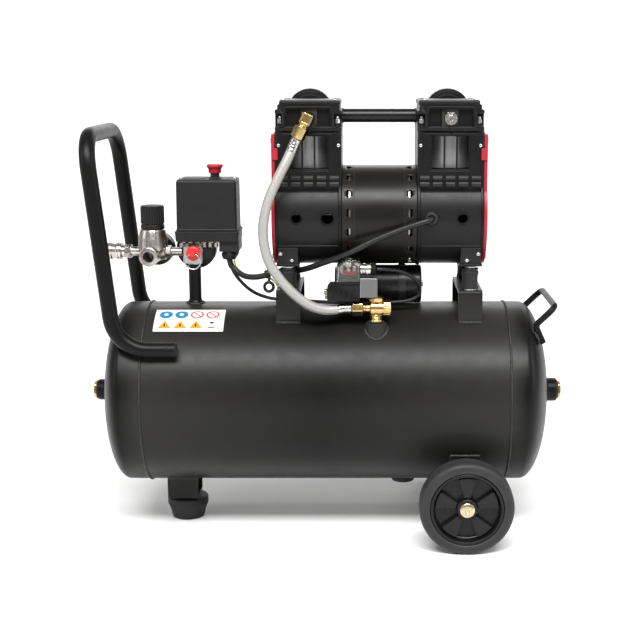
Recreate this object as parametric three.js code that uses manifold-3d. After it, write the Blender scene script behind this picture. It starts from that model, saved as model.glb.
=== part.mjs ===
// Portable oil-free air compressor: a twin-cylinder pump on a horizontal tank with two wheels and one foot.
// Millimetres. X runs along the tank, Y goes from the front to the back, Z is up and the floor is Z = 0.

import * as THREE from 'three';
import { mergeVertices } from 'three/addons/utils/BufferGeometryUtils.js';
import Module from 'manifold-3d';

const wasm = await Module();
wasm.setup();

// ---------------------------------------------------------------- driving dimensions

const GAP = 0.3;                 // between pieces that touch on the real machine
const CENTRE_SHIFT = -4;         // puts the middle of the overall length at X = 0
const TANK_ROUND = 32;           // sides on the tank
const ROUND = 24;                // sides on the large round pieces
const SMALL_ROUND = 12;          // sides on the small round pieces

const TANK = { radius: 115, wall: 2.5, z: 172, leftSeam: -222, rightSeam: 232 };
const RIGHT_END = { shoulder: 251, dome: 36, bossRadius: 15, face: 302 };
const LEFT_END = { shoulder: 248, dome: 31.4, bossRadius: 13.5, face: 294 };
const BOSS_BORE = 8;
const PLUG = { acrossCorners: 12.5, shank: 7.6, rightEnd: 307, leftEnd: 299, shankLength: 12 };

const PUSH_HANDLE = { radius: 9.75, y: 100.8, footX: -178, footZ: 246, bendX: -251, topX: -279, topZ: 504 };
const LIFT_HANDLE = { radius: 4, y: 64, route: [[274.8, 247], [264.6, 269.5], [289, 293]] };

const RISER = { x: -165, radius: 7.9, bore: 4.5, top: 339, collar: 9.9, collarTop: 289.5 };
const AIR_Z = 353;               // height of the air line through the manifold and regulator
const MANIFOLD = { left: -178, right: -156, depth: 13, bottom: 339.5, top: 364 };
const SWITCH = { left: -184, right: -107, depth: 27, bottom: 369, split: 382, top: 447, knobX: -136.6 };
const GLAND = { x: -119, y: 12.7, radius: 10, bottom: 345.5 };
const SAFETY = {
  x: -161.7, z: 355.8, capStart: -29.8, capEnd: -40, ringY: -42.5, ringRadius: 9.5, ringWire: 0.9 };
const TANK_GAUGE = { x: -167.3, z: 352, radius: 26, start: 17.3, back: 35 };
const OUTLET_GAUGE = { radius: 21, start: 15.3, back: 19.3 };
const REGULATOR = { turn: -4, x: -53, bonnet: 19, port: 12.2, portZ: 349.5, knobBottom: 382.3, knobTop: 412 };

const PUMP = {
  x: 70.8, z: 401, barrel: 62, bore: 57, inner: 46.5, outer: 128, depth: 50, deck: 461, top: 507.7 };
const MOTOR = { radius: 62.5, bore: 60, half: 46, slots: 16, slotX: 38, slotWidth: 5, slotLength: 11 };
const CYLINDER = { x: 87, radius: 33, bore: 30 };
const CRANK = { throw: 8, radius: 12, bigEndBore: 28.5, bigEnd: 33 };
const HEAD = { bottom: 508, top: 545, portZ: 523 };
const FILTER = { x: 89.4, z: 528, radius: 29.6, front: 58, back: 92 };
const COVER = { inner: 128.3, outer: 133.6, top: 504 };

const MOUNT = { x: 113.3, y: 44, radius: 10.7, neck: 9.2, bottom: 312.3, neckZ: 334, top: 341.7 };
const BRIDGE = { width: 30.3, y: 57, top: 312, sheet: 3 };

const VALVE = { x: 67, y: -66, z: 291.7, bossRadius: 13.7, bossTop: 274, seat: 7.1 };
const ELBOW = { x: -17.2, y: -68, z: 523.7, turn: 26.8 };
const HOSE_RADIUS = 6;
const MOTOR_LEAD_RADIUS = 3.7;
const VALVE_LEAD_RADIUS = 2.2;
const CAPACITOR = { left: 14.5, right: 124.9, z: 312, radius: 24.3 };

const WHEEL = { x: 177, y: 132, radius: 58, seat: 45, bolt: 6, half: 16 };
const AXLE_BRACKET = { width: 38.5, y: 99, bottom: 43, top: 112.8, sheet: 3 };
const FOOT = { x: -181.3, bracketX: -184.8, top: 29, bracketWidth: 39.5, y: 24, sheet: 3 };
const DRAIN = { x: 103, radius: 15, bottom: 49.5, screw: 7, screwBottom: 47.5 };

// ---------------------------------------------------------------- materials

function finish(color, roughness, metalness) {
  return () => new THREE.MeshStandardMaterial({ color, roughness, metalness });
}

const blackPaint = finish(0x1d1d1d, 0.5, 0.2);
const blackPlastic = finish(0x262626, 0.6, 0);
const blackCasting = finish(0x2a2a2a, 0.55, 0.3);
const redPlastic = finish(0xc4283a, 0.45, 0);
const brass = finish(0xc9a24a, 0.3, 0.9);
const nickel = finish(0xb9b0aa, 0.3, 0.9);
const aluminium = finish(0xa9abad, 0.35, 0.8);
const steel = finish(0x8f9194, 0.35, 0.9);
const copper = finish(0xb5683a, 0.4, 0.7);
const rubber = finish(0x303030, 0.8, 0);
const braid = finish(0xcfcac6, 0.5, 0.2);
const white = finish(0xe8e8e4, 0.5, 0);

// ---------------------------------------------------------------- closed meshes, joins and cuts

// Shares the vertices of a closed geometry and drops the triangles that have no area.
function closed(geometry) {
  geometry.deleteAttribute('normal');
  geometry.deleteAttribute('uv');
  const merged = mergeVertices(geometry, 1e-4);
  const index = merged.index.array;
  const kept = [];
  for (let i = 0; i < index.length; i += 3) {
    const [a, b, c] = [index[i], index[i + 1], index[i + 2]];
    if (a !== b && b !== c && c !== a) kept.push(a, b, c);
  }
  merged.setIndex(kept);
  return merged;
}

function solid(shape) {
  if (!shape.isBufferGeometry) return shape;
  const mesh = closed(shape);
  return new wasm.Manifold(new wasm.Mesh({
    numProp: 3,
    vertProperties: Float32Array.from(mesh.attributes.position.array),
    triVerts: Uint32Array.from(mesh.index.array),
  }));
}

function join(first, ...others) {
  return others.reduce((sum, shape) => sum.add(solid(shape)), solid(first));
}

function cut(first, ...tools) {
  return tools.reduce((rest, shape) => rest.subtract(solid(shape)), solid(first));
}

function geometryOf(shape) {
  if (shape.isBufferGeometry) return closed(shape);
  const mesh = shape.getMesh();
  const geometry = new THREE.BufferGeometry();
  geometry.setAttribute('position', new THREE.BufferAttribute(Float32Array.from(mesh.vertProperties), 3));
  geometry.setIndex(Array.from(mesh.triVerts));
  return geometry;
}

// The same shape on the other side of X = 0, with its faces still pointing out.
function mirrored(shape) {
  const geometry = geometryOf(shape);
  geometry.scale(-1, 1, 1);
  const index = geometry.index.array;
  const flipped = [];
  for (let i = 0; i < index.length; i += 3) flipped.push(index[i], index[i + 2], index[i + 1]);
  geometry.setIndex(flipped);
  return geometry;
}

function piece(name, shape, material) {
  const mesh = new THREE.Mesh(geometryOf(shape), material());
  mesh.name = name;
  return mesh;
}

// ---------------------------------------------------------------- basic shapes

function box(x0, x1, y0, y1, z0, z1) {
  const geometry = new THREE.BoxGeometry(x1 - x0, y1 - y0, z1 - z0);
  return geometry.translate((x0 + x1) / 2, (y0 + y1) / 2, (z0 + z1) / 2);
}

// A profile of [radius, distance along the axis] turned round an axis through the point at.
function turned(axis, profile, at = [0, 0, 0], sides = ROUND) {
  const points = profile.map(([radius, along]) => new THREE.Vector2(radius, along));
  const geometry = new THREE.LatheGeometry(points, sides);
  if (axis === 'x') geometry.rotateZ(-Math.PI / 2);
  if (axis === 'z') geometry.rotateX(Math.PI / 2);
  return geometry.translate(...at);
}

function cylinder(axis, radius, from, to, at = [0, 0, 0], sides = SMALL_ROUND) {
  return turned(axis, [[0, from], [radius, from], [radius, to], [0, to]], at, sides);
}

function ring(axis, inner, outer, from, to, at = [0, 0, 0], sides = ROUND) {
  const profile = [[inner, from], [outer, from], [outer, to], [inner, to], [inner, from]];
  return turned(axis, profile, at, sides);
}

function outline(points) {
  return new THREE.Shape(points.map(([a, b]) => new THREE.Vector2(a, b)));
}

// An outline of [y, z] points extruded along X.
function alongX(points, x0, x1) {
  const geometry = new THREE.ExtrudeGeometry(outline(points), { depth: x1 - x0, bevelEnabled: false });
  const basis = new THREE.Matrix4().makeBasis(
    new THREE.Vector3(0, 1, 0), new THREE.Vector3(0, 0, 1), new THREE.Vector3(1, 0, 0));
  return geometry.applyMatrix4(basis).translate(x0, 0, 0);
}

// An outline of [x, z] points extruded along Y.
function alongY(points, y0, y1) {
  const geometry = new THREE.ExtrudeGeometry(outline(points), { depth: y1 - y0, bevelEnabled: false });
  const basis = new THREE.Matrix4().makeBasis(
    new THREE.Vector3(1, 0, 0), new THREE.Vector3(0, 0, 1), new THREE.Vector3(0, -1, 0));
  return geometry.applyMatrix4(basis).translate(0, y1, 0);
}

function circlePoints(radius, sides) {
  const points = [];
  for (let i = 0; i < sides; i++) {
    const angle = (2 * Math.PI * i) / sides;
    points.push(new THREE.Vector2(radius * Math.cos(angle), radius * Math.sin(angle)));
  }
  return points;
}

function sweep(path, radius, sides, steps) {
  const section = new THREE.Shape(circlePoints(radius, sides));
  return new THREE.ExtrudeGeometry(section, { extrudePath: path, steps, bevelEnabled: false });
}

// Straight runs between the points, with a round bend of the given radius at each inner point.
function bentPath(points, radii) {
  const corners = points.map((p) => new THREE.Vector3(...p));
  const path = new THREE.CurvePath();
  let start = corners[0];
  for (let i = 1; i < corners.length - 1; i++) {
    const before = corners[i].clone().sub(corners[i - 1]).normalize();
    const after = corners[i + 1].clone().sub(corners[i]).normalize();
    const angle = before.angleTo(after);
    const reach = radii[i - 1] * Math.tan(angle / 2);
    const handle = radii[i - 1] * (4 / 3) * Math.tan(angle / 4);
    const enter = corners[i].clone().addScaledVector(before, -reach);
    const leave = corners[i].clone().addScaledVector(after, reach);
    path.add(new THREE.LineCurve3(start, enter));
    path.add(new THREE.CubicBezierCurve3(
      enter, enter.clone().addScaledVector(before, handle),
      leave.clone().addScaledVector(after, -handle), leave));
    start = leave;
  }
  path.add(new THREE.LineCurve3(start, corners[corners.length - 1]));
  return path;
}

function smoothPath(points) {
  return new THREE.CatmullRomCurve3(points.map((p) => new THREE.Vector3(...p)), false, 'centripetal');
}

// The tank's outside, grown by the running gap, for trimming what is welded to it.
function tankEnvelope() {
  return cylinder('x', TANK.radius + GAP, TANK.leftSeam, RIGHT_END.shoulder, [0, 0, TANK.z], TANK_ROUND);
}

// ---------------------------------------------------------------- tank

function tankShell() {
  const axis = [0, 0, TANK.z];
  const inside = TANK.radius - TANK.wall;
  const left = TANK.leftSeam + GAP / 2;
  const right = TANK.rightSeam - GAP / 2;
  const tube = ring('x', inside, TANK.radius, left, right, axis, TANK_ROUND);
  const welded = join(tube,
    cylinder('z', VALVE.bossRadius, 240, VALVE.bossTop, [VALVE.x, VALVE.y, 0]),
    cylinder('z', DRAIN.radius, DRAIN.bottom, 66, [DRAIN.x, 0, 0]));
  return cut(welded,
    cylinder('x', inside, TANK.leftSeam, TANK.rightSeam, axis, TANK_ROUND),
    cylinder('z', VALVE.seat, 230, 290, [VALVE.x, VALVE.y, 0]),
    cylinder('z', DRAIN.screw + GAP, 40, 75, [DRAIN.x, 0, 0]),
    cylinder('z', RISER.bore, 270, 300, [RISER.x, 0, 0]));
}

// A dished end with its threaded boss, for the end that points along +X.
function tankHead(seam, { shoulder, dome, bossRadius, face }) {
  const inside = TANK.radius - TANK.wall;
  const dish = (radius, depth, degrees) => {
    const angle = THREE.MathUtils.degToRad(degrees);
    return [radius * Math.cos(angle), shoulder + depth * Math.sin(angle)];
  };
  const outside = [0, 24, 52].map((a) => dish(TANK.radius, dome, a));
  const insideFace = [62, 34, 0].map((a) => dish(inside, dome - TANK.wall, a));
  const bossFoot = dish(TANK.radius, dome, THREE.MathUtils.radToDeg(Math.acos(bossRadius / TANK.radius)));
  const boreFoot = dish(inside, dome - TANK.wall, THREE.MathUtils.radToDeg(Math.acos(BOSS_BORE / inside)));
  const profile = [
    [inside, seam], [TANK.radius, seam], ...outside, bossFoot, [bossRadius, face], [BOSS_BORE, face],
    boreFoot, ...insideFace, [inside, seam]];
  return turned('x', profile, [0, 0, TANK.z], TANK_ROUND);
}

function endPlug(face, end) {
  const axis = [0, 0, TANK.z];
  return join(
    cylinder('x', PLUG.acrossCorners, face + GAP, end, axis, 6),
    cylinder('x', PLUG.shank, face - PLUG.shankLength, face + 1, axis));
}

function pushHandle() {
  const { y, footX, footZ, bendX, topX, topZ, radius } = PUSH_HANDLE;
  const half = (side) => [[footX, side * y, footZ], [bendX, side * y, footZ], [topX, side * y, topZ]];
  const path = bentPath([...half(-1), ...half(1).reverse()], [45, 40, 40, 45]);
  return sweep(path, radius, 10, 28);
}

function liftHandle() {
  const half = (side) => LIFT_HANDLE.route.map(([x, z]) => [x, side * LIFT_HANDLE.y, z]);
  return sweep(bentPath([...half(-1), ...half(1).reverse()], [7, 11, 11, 7]), LIFT_HANDLE.radius, 8, 26);
}

function riserPipe() {
  const at = [RISER.x, 0, 0];
  const pipe = join(
    cylinder('z', RISER.radius, 280, RISER.top, at),
    cylinder('z', RISER.collar, 280, RISER.collarTop, at));
  return cut(pipe, tankEnvelope(), cylinder('z', RISER.bore, 270, 350, at));
}

function drainScrew() {
  const at = [DRAIN.x, 0, 0];
  const screw = cylinder('z', DRAIN.screw, DRAIN.screwBottom, 61, at);
  return cut(screw, box(DRAIN.x - 8, DRAIN.x + 8, -0.9, 0.9, 45, DRAIN.screwBottom + 1.6));
}

function tank() {
  const group = new THREE.Group();
  group.add(
    piece('tank_shell', tankShell(), blackPaint),
    piece('tank_head_right', tankHead(TANK.rightSeam + GAP / 2, RIGHT_END), blackPaint),
    piece('tank_head_left',
      mirrored(tankHead(-TANK.leftSeam + GAP / 2, LEFT_END)), blackPaint),
    piece('end_plug_right', endPlug(RIGHT_END.face, PLUG.rightEnd), brass),
    piece('end_plug_left', mirrored(endPlug(LEFT_END.face, PLUG.leftEnd)), brass),
    piece('push_handle', pushHandle(), blackPaint),
    piece('lifting_handle', liftHandle(), blackPaint),
    piece('riser_pipe', riserPipe(), blackPaint),
    piece('drain_screw', drainScrew(), brass));
  return group;
}

// ---------------------------------------------------------------- foot and wheels

// A strap bent into a U, open at the top, trimmed where it meets the tank.
function saddle(x, width, y, bottom, top, sheet) {
  const inner = y - sheet;
  const section = [
    [-y, bottom], [y, bottom], [y, top], [inner, top],
    [inner, bottom + sheet], [-inner, bottom + sheet], [-inner, top], [-y, top]];
  return alongX(section, x - width / 2, x + width / 2);
}

function footBracket() {
  const strap = saddle(FOOT.bracketX, FOOT.bracketWidth, FOOT.y, FOOT.top + GAP, 70, FOOT.sheet);
  return cut(strap, tankEnvelope());
}

function rubberFoot() {
  const profile = [
    [0, 0], [19.5, 0], [21.5, 1.5], [26, 18], [26.5, 20], [26.5, 27], [25, FOOT.top], [0, FOOT.top]];
  return turned('z', profile, [FOOT.x, 0, 0], 20);
}

function axleBracket() {
  const { width, y, bottom, top, sheet } = AXLE_BRACKET;
  const left = WHEEL.x - width / 2;
  const right = WHEEL.x + width / 2;
  const shapes = [saddle(WHEEL.x, width, y, bottom, top, sheet)];
  for (const side of [-1, 1]) {
    const [near, far] = side < 0 ? [-y, -60] : [60, y];
    shapes.push(
      box(left, left + sheet, near, far, bottom, top),
      box(right - sheet, right, near, far, bottom, top));
    const axle = [
      [0, y - 1], [WHEEL.bolt, y - 1], [WHEEL.bolt, 147], [9.4, 147], [9.4, 149], [7.5, 150.5], [0, 150.5]];
    const bolt = turned('y', axle, [0, 0, 0], SMALL_ROUND);
    if (side < 0) bolt.rotateX(Math.PI);
    shapes.push(bolt.translate(WHEEL.x, 0, WHEEL.radius));
  }
  return cut(join(...shapes), tankEnvelope());
}

// A wheel's own frame has its axle along Y and its outer face towards -Y.
function rim() {
  const lip = WHEEL.seat - GAP;
  const profile = [
    [6.3, -14.3], [12.7, -14.3], [12.7, -3], [39.9, -3], [39.9, -15.5], [lip, -15.5], [lip, 14], [40.5, 14],
    [40.5, 3], [12.7, 3], [12.7, 28.5], [6.3, 28.5], [6.3, -14.3]];
  const shapes = [turned('y', profile)];
  const spread = Math.PI / 10;
  for (let spoke = 0; spoke < 5; spoke++) {
    const middle = Math.PI / 2 + (2 * Math.PI * spoke) / 5;
    const corner = (radius, angle) => [radius * Math.cos(angle), radius * Math.sin(angle)];
    const wedge = [
      corner(11, middle - spread), corner(38.5, middle - spread), corner(38.5, middle + spread),
      corner(11, middle + spread)];
    shapes.push(alongY(wedge, -11, 0));
  }
  return cut(join(...shapes), cylinder('y', 6.3, -20, 30));
}

function tyre() {
  const seat = WHEEL.seat;
  const profile = [
    [seat, -WHEEL.half], [53, -WHEEL.half], [WHEEL.radius, -11], [WHEEL.radius, 11],
    [53, WHEEL.half], [seat, WHEEL.half], [seat, -WHEEL.half]];
  return turned('y', profile);
}

function wheel(name, side) {
  const group = new THREE.Group();
  group.add(piece(`rim_${name}`, rim(), blackPlastic), piece(`tyre_${name}`, tyre(), rubber));
  group.position.set(WHEEL.x, side * WHEEL.y, WHEEL.radius);
  if (side > 0) group.rotation.z = Math.PI;
  return group;
}

function runningGear() {
  const group = new THREE.Group();
  group.add(
    piece('foot_bracket', footBracket(), blackPaint),
    piece('rubber_foot', rubberFoot(), rubber),
    piece('axle_bracket', axleBracket(), blackPaint),
    wheel('front', -1),
    wheel('rear', 1));
  return group;
}

// ---------------------------------------------------------------- pressure switch and safety valve

function manifold() {
  const { left, right, depth, bottom, top } = MANIFOLD;
  const middle = [RISER.x, 0, 0];
  const valve = [SAFETY.x, 0, SAFETY.z];
  const body = join(
    box(left, right, -depth, depth, bottom, top),
    cylinder('z', 12, top - 1, SWITCH.bottom - GAP, middle, 6),
    cylinder('y', 9.5, -22, -depth + 1, valve, 6),
    cylinder('y', 7.8, SAFETY.capStart + GAP, -21, valve),
    cylinder('y', 6.5, depth - 1, 17, [TANK_GAUGE.x, 0, TANK_GAUGE.z]));
  return cut(body,
    cylinder('z', RISER.bore, bottom - 5, AIR_Z, middle),
    cylinder('x', 4, left - 5, RISER.x, [0, 0, AIR_Z]));
}

function roundedOutline(x0, x1, depth, radius) {
  const shape = new THREE.Shape();
  shape.moveTo(x0 + radius, -depth);
  shape.lineTo(x1 - radius, -depth);
  shape.absarc(x1 - radius, -depth + radius, radius, -Math.PI / 2, 0);
  shape.lineTo(x1, depth - radius);
  shape.absarc(x1 - radius, depth - radius, radius, 0, Math.PI / 2);
  shape.lineTo(x0 + radius, depth);
  shape.absarc(x0 + radius, depth - radius, radius, Math.PI / 2, Math.PI);
  shape.lineTo(x0, -depth + radius);
  shape.absarc(x0 + radius, -depth + radius, radius, Math.PI, 1.5 * Math.PI);
  return shape;
}

function switchBase() {
  const { left, right, depth, bottom, split } = SWITCH;
  const shape = roundedOutline(left - 2, right + 2, depth + 2, 4);
  const plate = new THREE.ExtrudeGeometry(shape, {
    depth: split - bottom, bevelEnabled: false, curveSegments: 3 });
  const shapes = [plate.translate(0, 0, bottom), box(-131, -106, -23.5, 23.5, 356, bottom + 1)];
  const bores = [];
  for (const y of [-GLAND.y, GLAND.y]) {
    shapes.push(cylinder('z', GLAND.radius, GLAND.bottom, 357, [GLAND.x, y, 0]));
    bores.push(cylinder('z', 4.3, GLAND.bottom - 1, split + 1, [GLAND.x, y, 0]));
  }
  return cut(join(...shapes), ...bores);
}

function switchCover() {
  const { left, right, depth, split, top, knobX } = SWITCH;
  const edge = 4;
  const wall = 2.5;
  const shape = roundedOutline(left + edge, right - edge, depth - edge, 1);
  const block = new THREE.ExtrudeGeometry(shape, {
    depth: 73, bevelThickness: edge, bevelSize: edge, bevelSegments: 2, curveSegments: 2 });
  return cut(
    block.translate(0, 0, top - edge - 73),
    box(left - 5, right + 5, -depth - 5, depth + 5, 360, split + GAP),
    box(left + wall, right - wall, -depth + wall, depth - wall, split - 1, top - wall),
    cylinder('z', 6.4, top - 5, top + 5, [knobX, 0, 0]));
}

function switchKnob() {
  const profile = [
    [0, 436], [5.8, 436], [5.8, 453.5], [8, 454.5], [8.3, 459],
    [10.3, 461], [10.3, 463], [9.3, 464.2], [0, 464.2]];
  return turned('z', profile, [SWITCH.knobX, 0, 0], SMALL_ROUND);
}

function switchContacts() {
  return join(
    box(-172, -124, -20, 20, SWITCH.split + GAP, 391),
    box(-172, -150, -18, 18, 390, 430),
    cylinder('z', 8, 390, 434, [SWITCH.knobX, 0, 0], 12));
}

function safetyCap() {
  const at = [SAFETY.x, 0, SAFETY.z];
  const cap = join(
    cylinder('y', 9.3, SAFETY.capEnd, SAFETY.capStart, at, SMALL_ROUND),
    cylinder('y', 3.6, -46, SAFETY.capEnd + 1, at, 12));
  return cut(cap, cylinder('x', 1.9, -6, 6, [SAFETY.x, SAFETY.ringY, SAFETY.z], 12));
}

function pullRing() {
  const wire = new THREE.TorusGeometry(SAFETY.ringRadius, SAFETY.ringWire, 6, 18);
  return wire.rotateX(Math.PI / 2).translate(SAFETY.x, SAFETY.ringY, SAFETY.z - SAFETY.ringRadius);
}

// A gauge faces +Y. Its stem starts at y = start and its dial lies at the bottom of a shallow recess.
function gauge(radius, start, back, at) {
  const front = back + 19;
  const profile = [
    [0, start], [6, start], [6, back], [radius, back], [radius, front],
    [radius - 2.5, front], [radius - 2.5, front - 6], [0, front - 6]];
  return turned('y', profile, at, 20);
}

function gaugeNeedle(length, back, at) {
  const y = back + 13.5;
  const needle = join(
    cylinder('y', 2.2, y, y + 1.2, [0, 0, 0], 12),
    box(-0.7, 0.7, y + 0.2, y + 1, -length, 4));
  const geometry = geometryOf(needle);
  return geometry.rotateY(-Math.PI / 4).translate(...at);
}

function airControls() {
  const gaugeAt = [TANK_GAUGE.x, 0, TANK_GAUGE.z];
  const group = new THREE.Group();
  group.add(
    piece('manifold', manifold(), nickel),
    piece('switch_base', switchBase(), blackPlastic),
    piece('switch_cover', switchCover(), blackPlastic),
    piece('switch_knob', switchKnob(), redPlastic),
    piece('switch_contacts', switchContacts(), blackPlastic),
    piece('safety_valve_cap', safetyCap(), redPlastic),
    piece('pull_ring', pullRing(), steel),
    piece('tank_gauge', gauge(TANK_GAUGE.radius, TANK_GAUGE.start, TANK_GAUGE.back, gaugeAt), blackPlastic),
    piece('tank_gauge_needle', gaugeNeedle(16, TANK_GAUGE.back, gaugeAt), white));
  return group;
}

// ---------------------------------------------------------------- regulator and quick coupler

function regulatorBody() {
  const { bonnet, port, portZ } = REGULATOR;
  const at = [REGULATOR.x, 0, 0];
  const line = [0, 0, AIR_Z];
  const body = join(
    cylinder('x', 10.5, -68, -36, line),
    cylinder('x', 8, -36.5, -29, line, 6),
    cylinder('x', 5.5, -30, -15, line),
    turned('z', [[0, 341], [9, 341], [13.5, 347], [13.5, 359.5], [17.5, 362.5], [bonnet, 366], [bonnet, 371],
      [16, 381], [14, 382], [0, 382]], at, 18),
    cylinder('y', port, -30, 0, [REGULATOR.x, 0, portZ]),
    cylinder('y', 8, 0, 15, [REGULATOR.x, 0, AIR_Z]));
  return cut(body,
    cylinder('y', 7, -35, -6, [REGULATOR.x, 0, portZ]),
    cylinder('x', 3.5, -75, -60, line));
}

function regulatorKnob() {
  const ribs = 14;
  const points = [];
  for (let i = 0; i < 2 * ribs; i++) {
    const angle = (Math.PI * i) / ribs;
    const radius = i % 2 ? 14.1 : 15;
    points.push([radius * Math.cos(angle), radius * Math.sin(angle)]);
  }
  const grip = new THREE.ExtrudeGeometry(outline(points), {
    depth: REGULATOR.knobTop - 389, bevelEnabled: false });
  return join(
    grip.translate(REGULATOR.x, 0, 389),
    cylinder('z', 15, REGULATOR.knobBottom, 389.5, [REGULATOR.x, 0, 0], 18));
}

function couplerBody() {
  const line = [0, 0, AIR_Z];
  const body = join(
    cylinder('x', 6, -81, -68 - GAP, line),
    cylinder('x', 8.8, -89, -80, line, 6),
    cylinder('x', 8, -115, -88.5, line));
  return cut(body, cylinder('x', 4.8, -120, -75, line));
}

function couplerSleeve() {
  const profile = [
    [8.3, -114.5], [11, -114.5], [11, -106], [10, -105], [10, -101], [11, -100], [11, -93], [8.3, -93],
    [8.3, -114.5]];
  return turned('x', profile, [0, 0, AIR_Z], 16);
}

function regulator() {
  const { radius, start, back } = OUTLET_GAUGE;
  const gaugeAt = [REGULATOR.x, 0, AIR_Z];
  const group = new THREE.Group();
  group.add(
    piece('regulator_body', regulatorBody(), nickel),
    piece('regulator_knob', regulatorKnob(), blackPlastic),
    piece('outlet_gauge', gauge(radius, start, back, gaugeAt), blackPlastic),
    piece('outlet_gauge_needle', gaugeNeedle(14, back, gaugeAt), white),
    piece('coupler_body', couplerBody(), nickel),
    piece('coupler_sleeve', couplerSleeve(), nickel));
  group.position.x = RISER.x;
  group.rotation.z = THREE.MathUtils.degToRad(REGULATOR.turn);
  return group;
}

// ---------------------------------------------------------------- pump, with X = 0 at its own middle

function motorHousing() {
  const axis = [0, 0, PUMP.z];
  const tube = ring('x', MOTOR.bore, MOTOR.radius, -MOTOR.half, MOTOR.half, axis);
  const slots = [];
  for (const x of [-MOTOR.slotX, MOTOR.slotX]) {
    for (let i = 0; i < MOTOR.slots; i++) {
      const half = MOTOR.slotLength / 2;
      const slot = box(x - MOTOR.slotWidth / 2, x + MOTOR.slotWidth / 2, -70, -55, -half, half);
      slots.push(slot.rotateX((2 * Math.PI * (i + 0.66)) / MOTOR.slots).translate(...axis));
    }
  }
  return cut(tube, ...slots);
}

function stator() {
  const outer = MOTOR.bore - GAP;
  const profile = [
    [31.5, -42], [52, -42], [52, -28], [outer, -28], [outer, 28],
    [52, 28], [52, 42], [31.5, 42], [31.5, -42]];
  return turned('x', profile, [0, 0, PUMP.z]);
}

function fan(x) {
  const blades = 6;
  const shapes = [cylinder('x', 15, x - 4.5, x + 4.5, [0, 0, 0], 10)];
  for (let i = 0; i < blades; i++) {
    const blade = box(-1, 1, -7, 7, 13, 50);
    blade.rotateZ(0.5).translate(x, 0, 0).rotateX((2 * Math.PI * i) / blades);
    shapes.push(blade);
  }
  return join(...shapes);
}

function rotor() {
  const parts = [cylinder('x', 7.5, -125, 125), cylinder('x', 30.5, -30, 30, [0, 0, 0], 16)];
  for (const side of [-1, 1]) {
    const x = side * CYLINDER.x;
    parts.push(cylinder('x', CRANK.radius, x - 6, x + 6, [0, 0, side * CRANK.throw]), fan(side * 120));
  }
  return geometryOf(join(...parts)).translate(0, 0, PUMP.z);
}

// The right-hand piston stands at the top of its stroke and the left-hand one at the bottom of its own.
function piston(side) {
  const centre = PUMP.z + side * CRANK.throw;
  const [start, end] = [CYLINDER.x - 5, CYLINDER.x + 5];
  const bigEnd = ring('x', CRANK.bigEndBore, CRANK.bigEnd, start, end, [0, 0, centre], 20);
  return join(
    bigEnd,
    box(CYLINDER.x - 4, CYLINDER.x + 4, -7, 7, centre + 31, centre + 72),
    cylinder('z', CYLINDER.bore - GAP, centre + 70, centre + 87, [CYLINDER.x, 0, 0], 24));
}

function cylinderSleeve() {
  return ring('z', CYLINDER.bore, CYLINDER.radius, PUMP.deck + GAP, PUMP.top, [CYLINDER.x, 0, 0], 24);
}

function crankcase() {
  const axis = [0, 0, PUMP.z];
  const { inner, outer, depth, deck, top, barrel, bore } = PUMP;
  const shapes = [
    cylinder('x', barrel, inner, outer, axis, ROUND),
    box(inner, outer, -depth, depth, PUMP.z, top)];
  const cuts = [
    cylinder('x', bore, inner + 4, outer + 2, axis, ROUND),
    cylinder('x', 12, inner - 2, inner + 6, axis),
    box(inner + 4.5, outer - 4.5, -depth + 4, depth - 4, deck, top + 5),
    cylinder('z', CYLINDER.bore + 0.5, 420, deck + 1, [CYLINDER.x, 0, 0], 24)];
  for (const side of [-1, 1]) {
    const [near, far] = side < 0 ? [-52, -32] : [32, 52];
    shapes.push(box(MOUNT.x - 9, MOUNT.x + 9, near, far, MOUNT.top + GAP, 375));
    for (let i = -2; i <= 2; i++) {
      const x = CYLINDER.x + 15.8 * i;
      const [a, b] = side < 0 ? [-depth - 3, -depth + 1] : [depth - 1, depth + 3];
      shapes.push(box(x - 6, x + 6, a, b, 441.6, 453.8));
    }
  }
  for (const x of [-15.2, 0, 15.2]) {
    cuts.push(box(CYLINDER.x + x - 6.6, CYLINDER.x + x + 6.6, -depth - 5, depth + 5, 463, 500));
  }
  cuts.push(
    cylinder('y', 6.8, -75, -45, [64, 0, 402.5]),
    cylinder('y', 5.5, -75, -45, [102, 0, 402.5]));
  return cut(join(...shapes), ...cuts);
}

function cylinderHead() {
  const { bottom, top, portZ } = HEAD;
  const face = [
    [46.5, bottom], [127.5, bottom], [127.5, 532], [124.5, 533.5], [124.5, 539], [118, top],
    [48.5, top], [48.5, 532], [46.5, 531]];
  const depth = PUMP.depth;
  const block = cut(alongY(face, -depth, depth), box(64, 110, -depth - 1, -depth + 3, 512, 535.5));
  return cut(join(block, box(79.5, 94.5, -depth, -depth + 4, 512, 535.5)),
    cylinder('y', 4.6, -depth - 1, -depth + 14, [CYLINDER.x, 0, portZ]),
    cylinder('y', 6, depth - 14, depth + 1, [FILTER.x, 0, FILTER.z]),
    cylinder('x', 6, 45, 58, [0, 0, 525]),
    cylinder('z', 26, bottom - 1, bottom + 12, [CYLINDER.x, 0, 0], 16));
}

function airFilter() {
  const { radius, front, back } = FILTER;
  const profile = [
    [0, PUMP.depth + GAP], [9, PUMP.depth + GAP], [9, front], [22, front],
    [radius, front + 4], [radius, back - 4],
    [radius - 4, back], [0, back]];
  return turned('y', profile, [FILTER.x, 0, FILTER.z], 22);
}

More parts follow.
